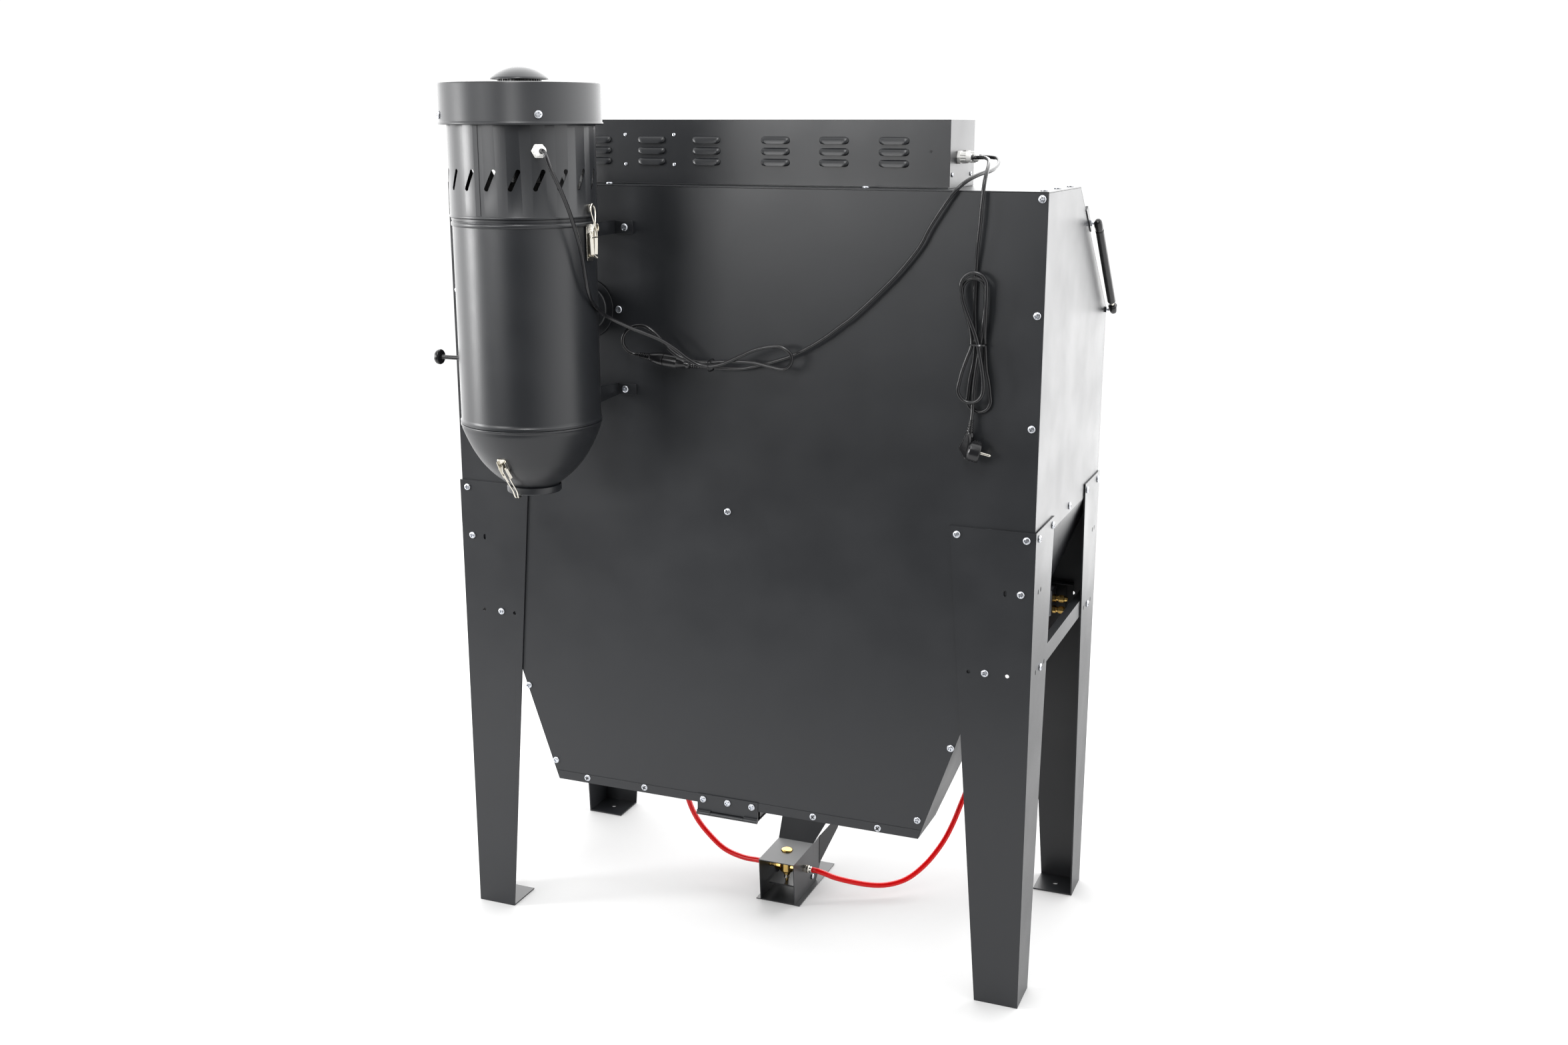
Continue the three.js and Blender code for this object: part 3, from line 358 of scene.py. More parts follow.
# Out of the gland, down the panel's edge, then through the tie and out to the plug.
MAINS = [
    (-430.3, -120, 1602), (-442, -120, 1602), (-456, -109, 1602), (-469, -84, 1600), (-479, -56, 1597),
    (-486, -28, 1591), (-489, -5, 1580), (-489, 9, 1562), (-487, 14, 1530), (-485, 14, 1497),
    (-482, 13, 1461), (-479.5, 9, 1430), (-477.5, 6.5, 1395), (-477.5, 5.3, 1340), (-480.5, 5.3, TIE),
    (-478.5, 5.3, 1252), (-472.5, 5.3, 1220), *fold(-490, 5.3, 1184, 21.5, 20, -200), (-507, 6, 1216),
    (-502, 7, 1240), (-499, 9.5, TIE), (-499.5, 14, 1305), (-501, 19, 1330), (-502, 22, 1355),
    *fold(-479, 23, 1387, 23, 182, -22), (-461, 22.5, 1360), (-467.5, 22, 1342), (-476, 22, 1322),
    (-484, 22, 1302), (-489.5, 22, TIE), (-493.5, 22.5, 1265), (-498, 23.5, 1244), (-501.5, 24.5, 1222),
    *fold(-479, 25, 1205, 23, 182, 382), (-463, 23.5, 1238), (-470, 21, 1260), (-477, 18, TIE),
    (-473, 15.5, 1312), (-464, 14.3, 1340), (-457.5, 14, 1362), *fold(-477.5, 14, 1378, 21.5, -12, 190),
    (-498.5, 14, 1345), (-495, 14, 1312), (-491.5, 14, TIE), (-488, 14, 1256), (-484.5, 14, 1228),
    (-482.5, 14, 1204), (-482, 15, 1184), (-481.9, 17, 1166), (-481.5, 20, 1150),
]
COLLECTOR = [
    (190.8, 333.5, 1615), (182, 342.9, 1615), (175, 347, 1606), (170, 340, 1584), (165, 319, 1550),
    (161, 298, 1512), (159, 277, 1469), (158, 266, 1440), (158, 255, 1401), (160, 240, 1368),
    (167, 205, 1342), (166, 160, 1319), (142, 120, 1296), (121, 98, 1283), (98, 78, 1269),
    (78, 62, 1252), (58, 52, 1234), (36, 46, 1222.6), (10, 43, 1222), (-14, 42, 1229), (-42, 42, 1242),
    (-74, 42, 1256.5), (-105, 42, 1264), (-126, 41.5, 1264.4), (-142, 41, 1254.5), (-146, 40, 1243),
    (-141, 39, 1230.5), (-127, 38, 1223), (-100, 37, 1226.5), (-66, 36, 1232), (-24, 35.5, 1231.5),
    (20, 35.5, 1227.5), (52, 36, 1227.5), (80, 39, 1234.5), (100, 42, 1248), (117, 45, 1267),
    (133, 47, 1282), (151, 47, 1290.5), (171, 46, 1289), (188, 44, 1280), (198.5, 40, 1266.5),
    (201, 36, 1253.5), (197, 31, 1242), (190.2, 27, 1235.2), (182.2, 24.3, 1232.7), (174.2, 24, 1231.7),
]
LAMP = [
    (47.2, 20, 1216.9), (37.3, 19.7, 1215.8), (18, 20, 1215.4), (-4, 19, 1214.8), (-37, 17, 1216.3),
    (-71, 15, 1224), (-104, 15, 1233.8), (-137, 15, 1245.7), (-170, 15, 1263), (-202, 15, 1283),
    (-234, 15, 1307), (-255, 15, 1323), (-293, 14, 1358), (-336, 14, 1401), (-375, 14, 1449),
    (-393, 14, 1482), (-412, 14, 1512), (-433, 11, 1542), (-453, 0, 1563), (-469, -30, 1575),
    (-478, -70, 1580), (-480, -110, 1587), (-476, -140, 1594), (-464, -166, 1600), (-446, -175, 1602),
    (-430.3, -175, 1602),
]
LEFT_HOSE = [
    (-70.3, -281, 64), (-82, -281, 64), (-98, -284, 59), (-129, -296, 46), (-185, -320, 32),
    (-226, -342, 29), (-263, -370, 38), (-296, -400, 66), (-323, -430, 106), (-340, -455, 147),
    (-356, -475, 200), (-385, -500, 290), (-425, -520, 400), (-465, -536, 500), (-493, -542, 560),
    (-500, -543, 595), (-500, -543, 611.7),
]
RIGHT_HOSE = [
    (48.4, -281, 64), (62, -281, 64), (98, -281, 65), (142, -281, 78), (182, -281, 110),
    (209, -281, 142), (228, -281, 182), (243, -284, 240), (252, -294, 310), (256, -308, 380),
    (253, -314, 430), (250, -301.7, 467.1), (250, -290.6, 475.6),
]


def ribbed(first, r0, r1, count, pitch):
    """Profile points of a strain relief whose ribs grow from r0 to r1."""
    out = []
    for i in range(count):
        z, r = first + i * pitch, r0 + (r1 - r0) * i / max(count - 1, 1)
        out += [(r, z), (r, z + pitch * 0.5), (r - 1.5, z + pitch * 0.56), (r - 1.5, z + pitch * 0.94)]
    return out


def build_plug():
    """Right-angle earthed plug: ribbed relief, wedge-shaped body, round face, two pins."""
    neck, shoulder, face = at(-481.5, 20, 1150), at(-479.4, 23, 1125), at(-500, 22, 1091.9)
    forward, across = Vector((-0.95, -0.194, -0.245)).normalized(), Vector((0.246, -0.949, -0.197))
    shape = Shape()
    relief = [(0, 0.3), (4, 0.3)] + ribbed(0.8, 4.8, 6.6, 5, 4.2) + [(7.6, 22.5), (8.6, 26), (8.6, 30),
                                                                     (0, 30)]
    shape.lathe(relief, frame_at(neck, shoulder - neck), 40)
    wedge = [(-475, 1128), (-462.5, 1101.5), (-463.5, 1097.5), (-473, 1081.5), (-477, 1081), (-486, 1112),
             (-484.5, 1127), (-481, 1131)]
    centre = Vector((-476, 1104))
    front = [Vector(p) for p in soften(wedge, 3, 2, True)]
    n = len(front)
    layers = [(-12.5, 0.84), (-10, 1.0), (10, 1.0), (12.5, 0.84)]
    verts = [(*(centre + (p - centre) * k), depth) for depth, k in layers for p in front]
    flat = Matrix.Translation(at(0, 24, 0)) @ Matrix(((MM, 0, 0, 0), (0, 0, MM, 0), (0, MM, 0, 0),
                                                      (0, 0, 0, 1)))
    faces = [list(range(n)), [3 * n + i for i in range(n)][::-1]]
    faces += [[k * n + i, k * n + (i + 1) % n, (k + 1) * n + (i + 1) % n, (k + 1) * n + i]
              for k in range(3) for i in range(n)]
    shape.add(verts, faces, flat)
    drum = frame_at(face, forward, across)
    shape.lathe(soften([(0, -23), (15, -23), (18.6, -19), (19, -3), (18.2, -0.4), (16.6, 0), (0, 0)], 1.2,
                       3), drum, 72)
    for s in (-1, 1):
        for k in range(3):
            shape.box(s * 18.7 - 0.9, s * 18.7 + 0.9, -4.5, 4.5, -16 + k * 4.4, -13.6 + k * 4.4, drum)
    body = piece("plug", shape, "black_plastic", edge=0.3, replaces=["mains_plug"])
    pins = Shape()
    for s in (-1, 1):
        pins.lathe(soften([(0, -0.5), (2.4, -0.5), (2.4, 17.4), (1.4, 19), (0, 19)], 0.6),
                   frame_at(face + across * (s * 9.5 * MM), forward), 24)
    return [body, piece("plug_pins", pins, "nickel_plate")]


def build_connector():
    """The mated halves of the coupling between the collector's lead and the lamp's."""
    start, end = at(174, 24, 1231.7), at(47.4, 20, 1216.9)
    way = (end - start).normalized()
    length = (end - start).length / MM
    place = frame_at(start, way)
    male = ([(0, 0.4), (4.2, 0.4)] + ribbed(1.5, 5.2, 6.6, 5, 4.3)
            + [(7.4, 23.6), (8.6, 26), (12.4, 44), (12.8, 50), (12.8, 53), (0, 53)])
    female = ([(0, length - 0.4), (4.2, length - 0.4)]
              + [(r, length - z) for r, z in ribbed(1.5, 5, 6, 4, 4.3)]
              + [(6.8, length - 19.5), (9.4, length - 22), (9.4, length - 27), (7.2, length - 28.5),
                 (7.2, length - 33), (11.4, length - 44), (13, length - 46), (13, 54.4), (12.4, 53.6),
                 (0, 53.6)])
    return [piece("connector_plug", Shape().lathe(male, place, 48), "black_plastic",
                  replaces=["lead_connector"]),
            piece("connector_socket", Shape().lathe(female, place, 48), "black_plastic")]


plug_pieces = build_plug()
connector_pieces = build_connector()


def tie(name, centre, normal, wide, high):
    """A thin plastic tie round a bundle."""
    outline = soften([(-wide, -high), (wide, -high), (wide, high), (-wide, high)], min(wide, high) * 0.9, 5,
                     True)
    place = frame_at(centre, normal)
    path = [place @ Vector((x, y, 0)) for x, y in outline + outline[:1]]
    shape = Shape().sweep(path, [(-1.2, -0.5), (1.2, -0.5), (1.2, 0.5), (-1.2, 0.5)])
    piece(name, shape, "black_plastic")


tie("tie_hank", at(-488.2, 13.7, TIE), (0, 0, 1), 15, 12.6)
tie("tie_collector_lead", at(20, 31.5, 1221.5), (1, 0, 0), 15.6, 10.6)

CORD, HOSE = 7, 12          # diameters
LEADS = [
    ("mains_lead", MAINS, ["mains_cord", "mains_hank"], "plug", plug_pieces),
    ("collector_flex", COLLECTOR, ["collector_lead"], "connector", connector_pieces),
    ("lamp_flex", LAMP[::-1], ["lamp_lead"], "connector", connector_pieces),
    ("air_hose_left", LEFT_HOSE, ["left_hose"], "object", []),
    ("air_hose_right", RIGHT_HOSE, ["right_hose"], "object", []),
]
for name, route, gone, far, on_it in LEADS:
    air = name.startswith("air_hose")
    size = HOSE if air else CORD
    obj, length = lead(name, route, size, "red_hose" if air else "black_plastic", gone)

# ---- CAD nodes that stay ----------------------------------------------------------------------
REPLACED_LATER = {
    "collector_canister", "collector_head", "collector_lid", "dust_bowl", "dust_cap",
    "upper_latch_lever", "upper_latch_bail", "lower_latch_lever", "shaker_rod", "pedal_valve",
    "strut_tube_left", "strut_tube_right", "strut_rod_left", "strut_rod_right", "mains_gland",
    "lamp_gland", "collector_gland", "glove_left", "glove_right", "air_manifold", "blast_gun",
    "mains_plug", "lead_connector", "mains_cord", "mains_hank", "collector_lead", "lamp_lead",
    "left_hose", "right_hose",
}
for name, node in NODES.items():
    if name in REPLACED_LATER:
        continue
    custom = node.data.attributes.get("custom_normal")
    if custom:
        node.data.attributes.remove(custom)
    mat = FROSTED if name == "lamp_tube" else MATERIALS[SLOT_OF[name]]
    node.data.materials.clear()
    node.data.materials.append(mat)
    node.data.shade_smooth()
    weld = node.modifiers.new("weld", "WELD")
    weld.merge_threshold = 0.00002
    flat = node.modifiers.new("flat", "DECIMATE")
    flat.decimate_type, flat.angle_limit = "DISSOLVE", math.radians(1)
    bevel(node, 0.5, 28)


# ---- Hardware ---------------------------------------------------------------------------------
def recessed_head(radius, height):
    """A pan head with a cross recess, seated at z 0."""
    r, h = radius, height
    head = Shape().lathe([(0, -2), (r * 0.5, -2), (r * 0.5, 0), (r * 0.96, 0), (r, h * 0.2),
                          (r * 0.98, h * 0.5),
                          (r * 0.86, h * 0.78), (r * 0.62, h * 0.95), (r * 0.3, h), (0, h)], segs=32)
    obj = bpy.data.objects.new("head", head.mesh("head"))
    scene.collection.objects.link(obj)
    arm, wide = r * 0.62, r * 0.19
    cross = [(wide, wide), (wide, arm), (-wide, arm), (-wide, wide), (-arm, wide), (-arm, -wide),
             (-wide, -wide), (-wide, -arm), (wide, -arm), (wide, -wide), (arm, -wide), (arm, wide)]
    carve(obj, Shape().prism(cross, h * 0.1, h * 1.6))
    done = Shape()
    done.verts = [v.co / MM for v in obj.data.vertices]
    done.faces = [list(p.vertices) for p in obj.data.polygons]
    bpy.data.objects.remove(obj)
    return done


SCREW = recessed_head(7.0, 3.6)
SMALL = recessed_head(4.0, 2.4)
RIVET = Shape().lathe([(0, -1), (2, -1), (2, 0), (3.6, 0), (3.2, 0.9), (1.8, 1.5), (1.4, 1), (0, 1)],
                      Matrix.Identity(4), 20)


def fasten(name, spots, proto=SCREW, body="cabinet"):
    """Screws at (x, y, z, normal), each turned a little differently."""
    shape = Shape()
    for i, (x, y, z, normal) in enumerate(spots):
        shape.copy(proto, frame_at(at(x, y, z), normal, spin=i * 1.37))
    piece(name, shape, "zinc_plate", body, angle=28)


BACK, FRONT, UP = (0, 1, 0), (0, -1, 0), (0, 0, 1)
rear = [(x, 0.1, z, BACK) for x, z in (
    (-589, 1536), (-588, 1337), (-586, 1137), (589, 1536), (588, 1337), (586, 1137), (2, 934),
    (460, 518), (401, 359), (327, 330), (194, 330), (-178, 328), (-313, 327), (-393, 357), (-455, 515))]
rear += [(x, 2.4, 327, BACK) for x in (60, 6, -47)]
rear += [(x, 2.9, z, BACK) for x, z in ((210, 1470), (216, 1160), (384, 1470), (378, 1160), (226, 1314),
                                        (368, 1314), (297, 1385), (297, 1243))]
rear += [(s * 259, -35, 1548.9, UP) for s in (-1, 1)]
rear += [(s * 585, y, 1548.6, UP) for s in (-1, 1) for y in (-30, -135, -240)]
legs = []
for s in (-1, 1):
    way = (s, 0, 0)
    legs.append((s * 600.1, -292, 935, way))
    for y, toward, face in ((0, -1, 3.4), (-580, 1, -583.4)):
        for off, z in ((14, 934), (144, 934), (21, 832), (83, 674)):
            legs.append((s * (600 - off), face, z, BACK if y == 0 else FRONT))
        for off, z in ((20, 934), (130, 934), (70, 674)):
            legs.append((s * 603.4, y + toward * off, z, way))
fasten("panel_screws", rear)
fasten("leg_bolts", legs)
fasten("light_box_rivets", [(x, -67.9, z, BACK) for x in (240, 137) for z in (1640, 1585)], RIVET)
fasten("light_box_end_screws", [(-405.1, y, z, (-1, 0, 0)) for y, z in ((-82, 1572), (-205, 1571))], SMALL)
piece("light_box_plug", Shape().lathe([(0, -1), (2.4, -1), (2.4, 0.4), (0, 0.4)],
                                      frame_at(at(-369, -68, 1613), BACK), 24),
      "black_rubber")


def build_louvres():
    """Pressed hoods with rounded ends, open along their lower edge."""
    half, tall, rise, skin = 28.5, 13.0, 5.5, 1.1
    across, down = 28, 9

    def height(u, v, lift):
        end = max(abs(u) - (half - 9), 0) / 9
        curve = math.sqrt(max(0, 1 - end * end))
        lean = math.sqrt(max(0, 1 - (1 - v / tall) ** 2))
        return lift * curve * lean

    shape = Shape()
    verts, faces = [], []
    for inner in (0, 1):
        for i in range(across + 1):
            u = -half + 2 * half * (0.5 - 0.5 * math.cos(math.pi * i / across))
            for j in range(down + 1):
                v = tall * j / down
                h = height(u, v, rise)
                inset = max(6 - v, v - tall + 6, 0)
                wide = (half - 6 + math.sqrt(36 - inset * inset)) / half
                verts.append((u * wide, tall / 2 - v, max(h - skin, -0.4) if inner else h + 0.02))
    row, sheet_size = down + 1, (across + 1) * (down + 1)
    for i in range(across):
        for j in range(down):
            a = i * row + j
            quad = [a, a + 1, a + row + 1, a + row]
            faces.append(quad)
            faces.append([q + sheet_size for q in quad][::-1])
    rim = [i * row for i in range(across + 1)] + [across * row + j for j in range(1, row)]
    rim += [i * row + down for i in range(across - 1, -1, -1)] + [j for j in range(down - 1, 0, -1)]
    for k, a in enumerate(rim):
        b = rim[(k + 1) % len(rim)]
        faces.append([a, b, b + sheet_size, a + sheet_size])
    for x in (70, 185, 300):
        for s in (-1, 1):
            for z in (1631, 1611, 1591):
                shape.add(verts, faces, frame_at(at(s * x, -68, z), BACK))
    piece("louvres", shape, "powder_coat", angle=50)


build_louvres()


def build_gland(name, base, way, node):
    """Cable gland: hexagon body, dome nut with ribs, rubber throat."""
    place = frame_at(at(*base), way)
    shape = Shape()
    shape.prism(soften(ring_of(13, 6), 1.2, 2, True), 0.2, 6, place)
    ribs = [(9.6 + 0.9 * math.cos(k * math.pi), a) for k, a in enumerate(range(24))]
    outline = [(r * math.cos(2 * math.pi * a / 24), r * math.sin(2 * math.pi * a / 24)) for r, a in ribs]
    shape.prism(outline, 6, 16, place)
    shape.lathe(soften([(0, 15.8), (10.2, 15.8), (10, 18), (8.4, 22), (5.6, 24.6), (3.8, 24.8), (3.8, 20),
                        (0, 20)], 0.6), place, 48)
    piece(name, shape, "pale_plastic", edge=0.3, replaces=[node])
    throat = Shape().lathe(soften([(3.55, 19), (5.2, 19), (4.6, 25), (3.9, 28), (3.55, 28), (3.55, 19)],
                                  0.1), place, 32)
    piece(name + "_throat", throat, "black_rubber")


HEAD_X, HEAD_Y = 297, 220          # axis of the collector
GLAND_AZIMUTH = 133.1


def on_head(azimuth, radius, z):
    a = math.radians(azimuth)
    return HEAD_X + radius * math.cos(a), HEAD_Y + radius * math.sin(a), z


def outward(azimuth):
    a = math.radians(azimuth)
    return (math.cos(a), math.sin(a), 0)


build_gland("gland_mains", (-405, -120, 1602), (-1, 0, 0), "mains_gland")
build_gland("gland_lamp", (-405, -175, 1602), (-1, 0, 0), "lamp_gland")
build_gland("gland_collector", on_head(GLAND_AZIMUTH, 130, 1615), outward(GLAND_AZIMUTH), "collector_gland")


# ---- Dust collector ---------------------------------------------------------------------------
def build_collector():
    axis = upright(HEAD_X, HEAD_Y)
    bead = [(127 + 2.4 * math.sin(t), 1488.5 - 4.2 * math.cos(t))
            for t in (math.pi * k / 10 for k in range(11))]
    can = [(127, 1131.3), (128.6, 1132), (128.8, 1136), (127.2, 1138), (127, 1142), *bead, (127, 1494),
           (128.2, 1495), (128.4, 1499.2), (127.6, 1500), (125, 1500), (125, 1131.3), (127, 1131.3)]
    shape = Shape().lathe(can, axis, 160)
    piece("canister", shape, "powder_coat", angle=40, replaces=["collector_canister"])
    arms = Shape()
    for z, root, tip in ((1470, 26, 25), (1160, 36, 22)):
        for s in (-1, 1):
            bend = HEAD_X + s * 65.25
            side = frame_at(at(bend, 0, z), (1, 0, 0), (0, 0, 1))
            arms.prism([(0.4, -tip / 2), (112, -root / 2), (112, root / 2), (0.4, tip / 2)], -1.25, 1.25,
                       side)
            foot = soften([(-1.25, -tip / 2), (39, -tip / 2), (39, tip / 2), (-1.25, tip / 2)], 3, 3, True)
            arms.prism([(-s * u, v) for u, v in foot], 0.3, 2.8, frame_at(at(bend, 0, z), BACK))
    piece("collector_arms", arms, "powder_coat", edge=0.4)
    duct = Shape().lathe(soften([(40, 0.4), (58, 0.4), (58, 2.8), (44, 2.8), (42, 5), (42, 112),
                                 (40, 112), (40, 0.4)], 1.2, 3, True), frame_at(at(HEAD_X, 0, 1314), BACK),
                                 96)
    piece("inlet_duct", duct, "powder_coat")

    head = Shape().lathe([(125.6, 1500.4), (130.6, 1500.4), (131, 1502), (130.6, 1504), (130, 1505),
                          (130, 1727.2), (128.5, 1727.2), (128.5, 1503.4), (125.6, 1503.4), (125.6, 1500.4)],
                         axis, 192)
    head_obj = piece("head_shell", head, "powder_coat", replaces=["collector_head"])
    slots = Shape()
    for i in range(19):
        a = 114.2 + i * 360 / 19
        outline = []
        for end in (1, -1):
            for k in range(7):
                t = (0 if end > 0 else math.pi) + math.pi * k / 6
                outline.append((end * 7 + 4.4 * math.cos(t), end * 14 + 4.4 * math.sin(t)))
        slots.prism(outline, -10, 10, frame_at(at(*on_head(a, 130, 1566)), outward(a)))
    slots.lathe([(0, -8), (8, -8), (8, 8), (0, 8)], frame_at(at(*on_head(GLAND_AZIMUTH, 130, 1615)),
                                                             outward(GLAND_AZIMUTH)), 32)
    carve(head_obj, slots)
    shade(head_obj, COAT, 40)
    seam = Shape()
    seam.prism([(-9, 1505.5), (1, 1505.5), (1, 1657.5), (-9, 1657.5)], -0.8, 1.1,
               frame_at(at(*on_head(86, 129.7, 0)), outward(86)))
    piece("collector_seams", seam, "powder_coat", edge=0.3)

    lid = [(0, 1729), (139, 1729), (141.5, 1728.3), (142.5, 1726), (142.5, 1664), (143.2, 1662.6),
           (144.3, 1661.4), (144.4, 1659.4), (143.4, 1658.1), (141.6, 1658.1), (141, 1660),
           (141, 1724), (139, 1727.5), (0, 1727.5)]
    piece("lid_shell", Shape().lathe(lid, axis, 192), "powder_coat", replaces=["collector_lid"], angle=45)
    neck = Shape().lathe([(34, 1728.6), (38.5, 1728.6), (38.5, 1731), (36.5, 1731), (36.5, 1735),
                          (38.5, 1735),
                          (38.5, 1737), (34, 1737), (34, 1728.6)], axis, 96)
    for i in range(40):
        a = i * 9
        neck.box(-1.1, 1.1, 1730.5, 1735.5, -1.6, 1.6, frame_at(at(*on_head(a, 37, 0)), outward(a)))
    piece("exhaust_neck", neck, "powder_coat")
    cap_top = [(75 * math.sin(t), 1682 + 75 * math.cos(t)) for t in (0.748 * k / 16 for k in range(1, 17))]
    dome = ([(0, 1757)] + cap_top + [(51, 1735.4), (49.6, 1735.4)]
            + [(r * 0.975, z - 1.4) for r, z in cap_top[-2::-1]] + [(0, 1755.6)])
    piece("exhaust_dome", Shape().lathe(dome, axis, 96), "powder_coat", angle=50)

    bowl_out = soften([(127, 1131), (128.6, 1130.4), (128.8, 1127.6), (127, 1126), (126, 1120), (120, 1105),
                       (110, 1083), (95, 1058), (75, 1035), (50, 1015), (46, 1012), (46, 1004)], 12, 5)
    bowl_in = soften([(44.4, 1004), (44.4, 1013.5), (73.4, 1037), (93.4, 1060), (108.4, 1085), (118.4, 1107),
                      (124.6, 1121), (125, 1131)], 12, 5)
    piece("bowl_shell", Shape().lathe(bowl_out + bowl_in + [bowl_out[0]], axis, 160), "powder_coat",
          replaces=["dust_bowl"], angle=55)
    cap = soften([(0, 998), (48.5, 998), (50, 999.5), (50, 1011), (48.4, 1011), (48.4, 1000.5), (0, 1000.5)],
                 1.4)
    piece("cap_shell", Shape().lathe(cap, axis, 128), "powder_coat", replaces=["dust_cap"])

    shaker_axis = frame_at(at(HEAD_X, HEAD_Y, 1237), (1, 0, 0))
    knob = Shape().lathe(soften([(0, 97), (4, 97), (4, 187), (11, 188), (14, 190.5), (14.4, 194), (13, 198),
                                 (8, 201), (0, 201)], 2),
                         shaker_axis, 48)
    piece("shaker_knob", knob, "black_plastic", "shaker", replaces=["shaker_rod"])
    bush = Shape().lathe(soften([(4.4, 126), (10, 126), (10, 129.5), (7, 131), (4.4, 131), (4.4, 126)], 0.4),
                         shaker_axis, 40)
    piece("shaker_bush", bush, "black_plastic")
    fasten("collector_lid_screws", [(*on_head(132.8 + 90 * k, 142.5, 1675), outward(132.8 + 90 * k))
                                    for k in range(4)])


build_collector()


def wire(shape, points, radius):
    """Adds a bent wire through points given in millimetres."""
    shape.sweep(spline([at(*p) for p in points], 6), ring_of(radius, 12))


def build_latches():
    x, y = 161, 220
    base = Shape()
    face = frame_at(at(167.4, y, 1457), (-1, 0, 0))
    base.prism(soften([(-11, -32), (11, -32), (11, 30), (-11, 30)], 4, 3, True), 0, 1.6, face)
    for s in (-1, 1):
        base.prism(soften([(-7, 15), (-7, 31), (7, 33), (9, 20)], 3, 3, True), s * 10 - 0.8, s * 10 + 0.8,
                   frame_at(at(161, y, 1457), (0, 1, 0)))
    base.prism(soften([(-6, 52), (6, 52), (6, 66), (-6, 66)], 3, 3, True), -1.5, 5, face)
    piece("upper_latch_base", base, "nickel_plate", edge=0.3)
    lever = Shape()
    outline = soften([(-6.5, -52), (6.5, -52), (8, -30), (9.5, 0), (-9.5, 0), (-8, -30)], 3, 3, True)
    lever.prism(outline, 0, 1.4, frame_at(at(x + 1.2, y, 1484), (-1, 0, 0)))
    for s in (-1, 1):
        wing = [at(x - 3, y + s * r, z) for r, z in ((8.8, 1483), (7.6, 1454), (6.2, 1436))]
        lever.sweep(wing, [(-3, -0.7), (3, -0.7), (3, 0.7), (-3, 0.7)])
    lever.sweep(spline([at(x + 0.4, y, 1437), at(x - 3, y, 1433.4), at(x - 6.5, y, 1434.5)], 6),
                [(-0.8, -6), (0.8, -6), (0.8, 6), (-0.8, 6)])
    for z in (1478, 1466):
        lever.lathe([(0, 0), (2.2, 0), (2, 1.2), (1, 1.7), (0, 1.8)],
                    frame_at(at(x - 0.2, y, z), (-1, 0, 0)), 16)
    piece("upper_latch_handle", lever, "nickel_plate", "upper_latch_lever",
          edge=0.3, replaces=["upper_latch_lever"])
    bail = Shape()
    wire(bail, [(x - 4.5, y - 10, 1466), (x - 5, y - 7, 1478), (x - 5, y - 2, 1489), (x - 4, y - 5, 1500),
                (x - 2.5, y - 8, 1511), (x - 1.5, y - 6, 1519), (x - 1, y, 1523), (x - 1.5, y + 6, 1519),
                (x - 2.5, y + 8, 1511), (x - 4, y + 5, 1500), (x - 5, y + 2, 1489), (x - 5, y + 7, 1478),
                (x - 4.5, y + 10, 1466)], 1.5)
    wire(bail, [(x - 4.5, y - 11.5, 1466), (x - 4.5, y, 1466), (x - 4.5, y + 11.5, 1466)], 1.5)
    piece("upper_latch_wire", bail, "nickel_plate", "upper_latch_bail",
          replaces=["upper_latch_bail"])

    centre = HEAD_Y
    claw = Shape()
    plate = [at(300, centre + r, z) for r, z in ((106.3, 1066), (106.3, 1057.5), (96, 1045), (88, 1035.5))]
    claw.sweep(plate, [(-0.7, -7), (0.7, -7), (0.7, 7), (-0.7, 7)])
    for s in (-1, 1):
        flange = [at(300 + s * 6.6, centre + r, z) for r, z in ((103.6, 1060), (93.5, 1047), (86, 1038))]
        claw.sweep(flange, [(-2.6, -0.6), (2.6, -0.6), (2.6, 0.6), (-2.6, 0.6)])
        rod = [(s * 4.6, 92, 1044), (s * 4.4, 78, 1026), (s * 4, 64.5, 1009.5), (s * 3.4, 60, 999.5),
               (s * 2.6, 56, 995.2), (0.6 * s, 46, 995)]
        claw.sweep(spline([at(300 + x, centre + r, z) for x, r, z in rod], 5), ring_of(1.5, 12))
    piece("lower_latch_clasp", claw, "nickel_plate", "lower_latch_lever",
          replaces=["lower_latch_lever"])
    pad = Shape()
    pad.prism(soften([(-9, -16), (9, -16), (9, 10), (-9, 10)], 3, 3, True), -6, 1.5,
              frame_at(at(300, centre + 101.5, 1068), (0, 0.87, -0.5)))
    for s in (-1, 1):
        pad.box(s * 8.2 - 0.7, s * 8.2 + 0.7, -8, 6, 0, 6,
                frame_at(at(300, centre + 101.5, 1068), (0, 0.87, -0.5)))
    piece("lower_latch_base", pad, "nickel_plate", edge=0.3)


build_latches()

# ---- Gas struts -------------------------------------------------------------------------------
SLOPE = math.atan2(1548.5 - 1293.5, 580 - 266)
DOWN, OUT = (-math.cos(SLOPE), -math.sin(SLOPE)), (-math.sin(SLOPE), math.cos(SLOPE))


def on_slope(s, n):
    return -266 + DOWN[0] * s + OUT[0] * n, 1548.5 + DOWN[1] * s + OUT[1] * n


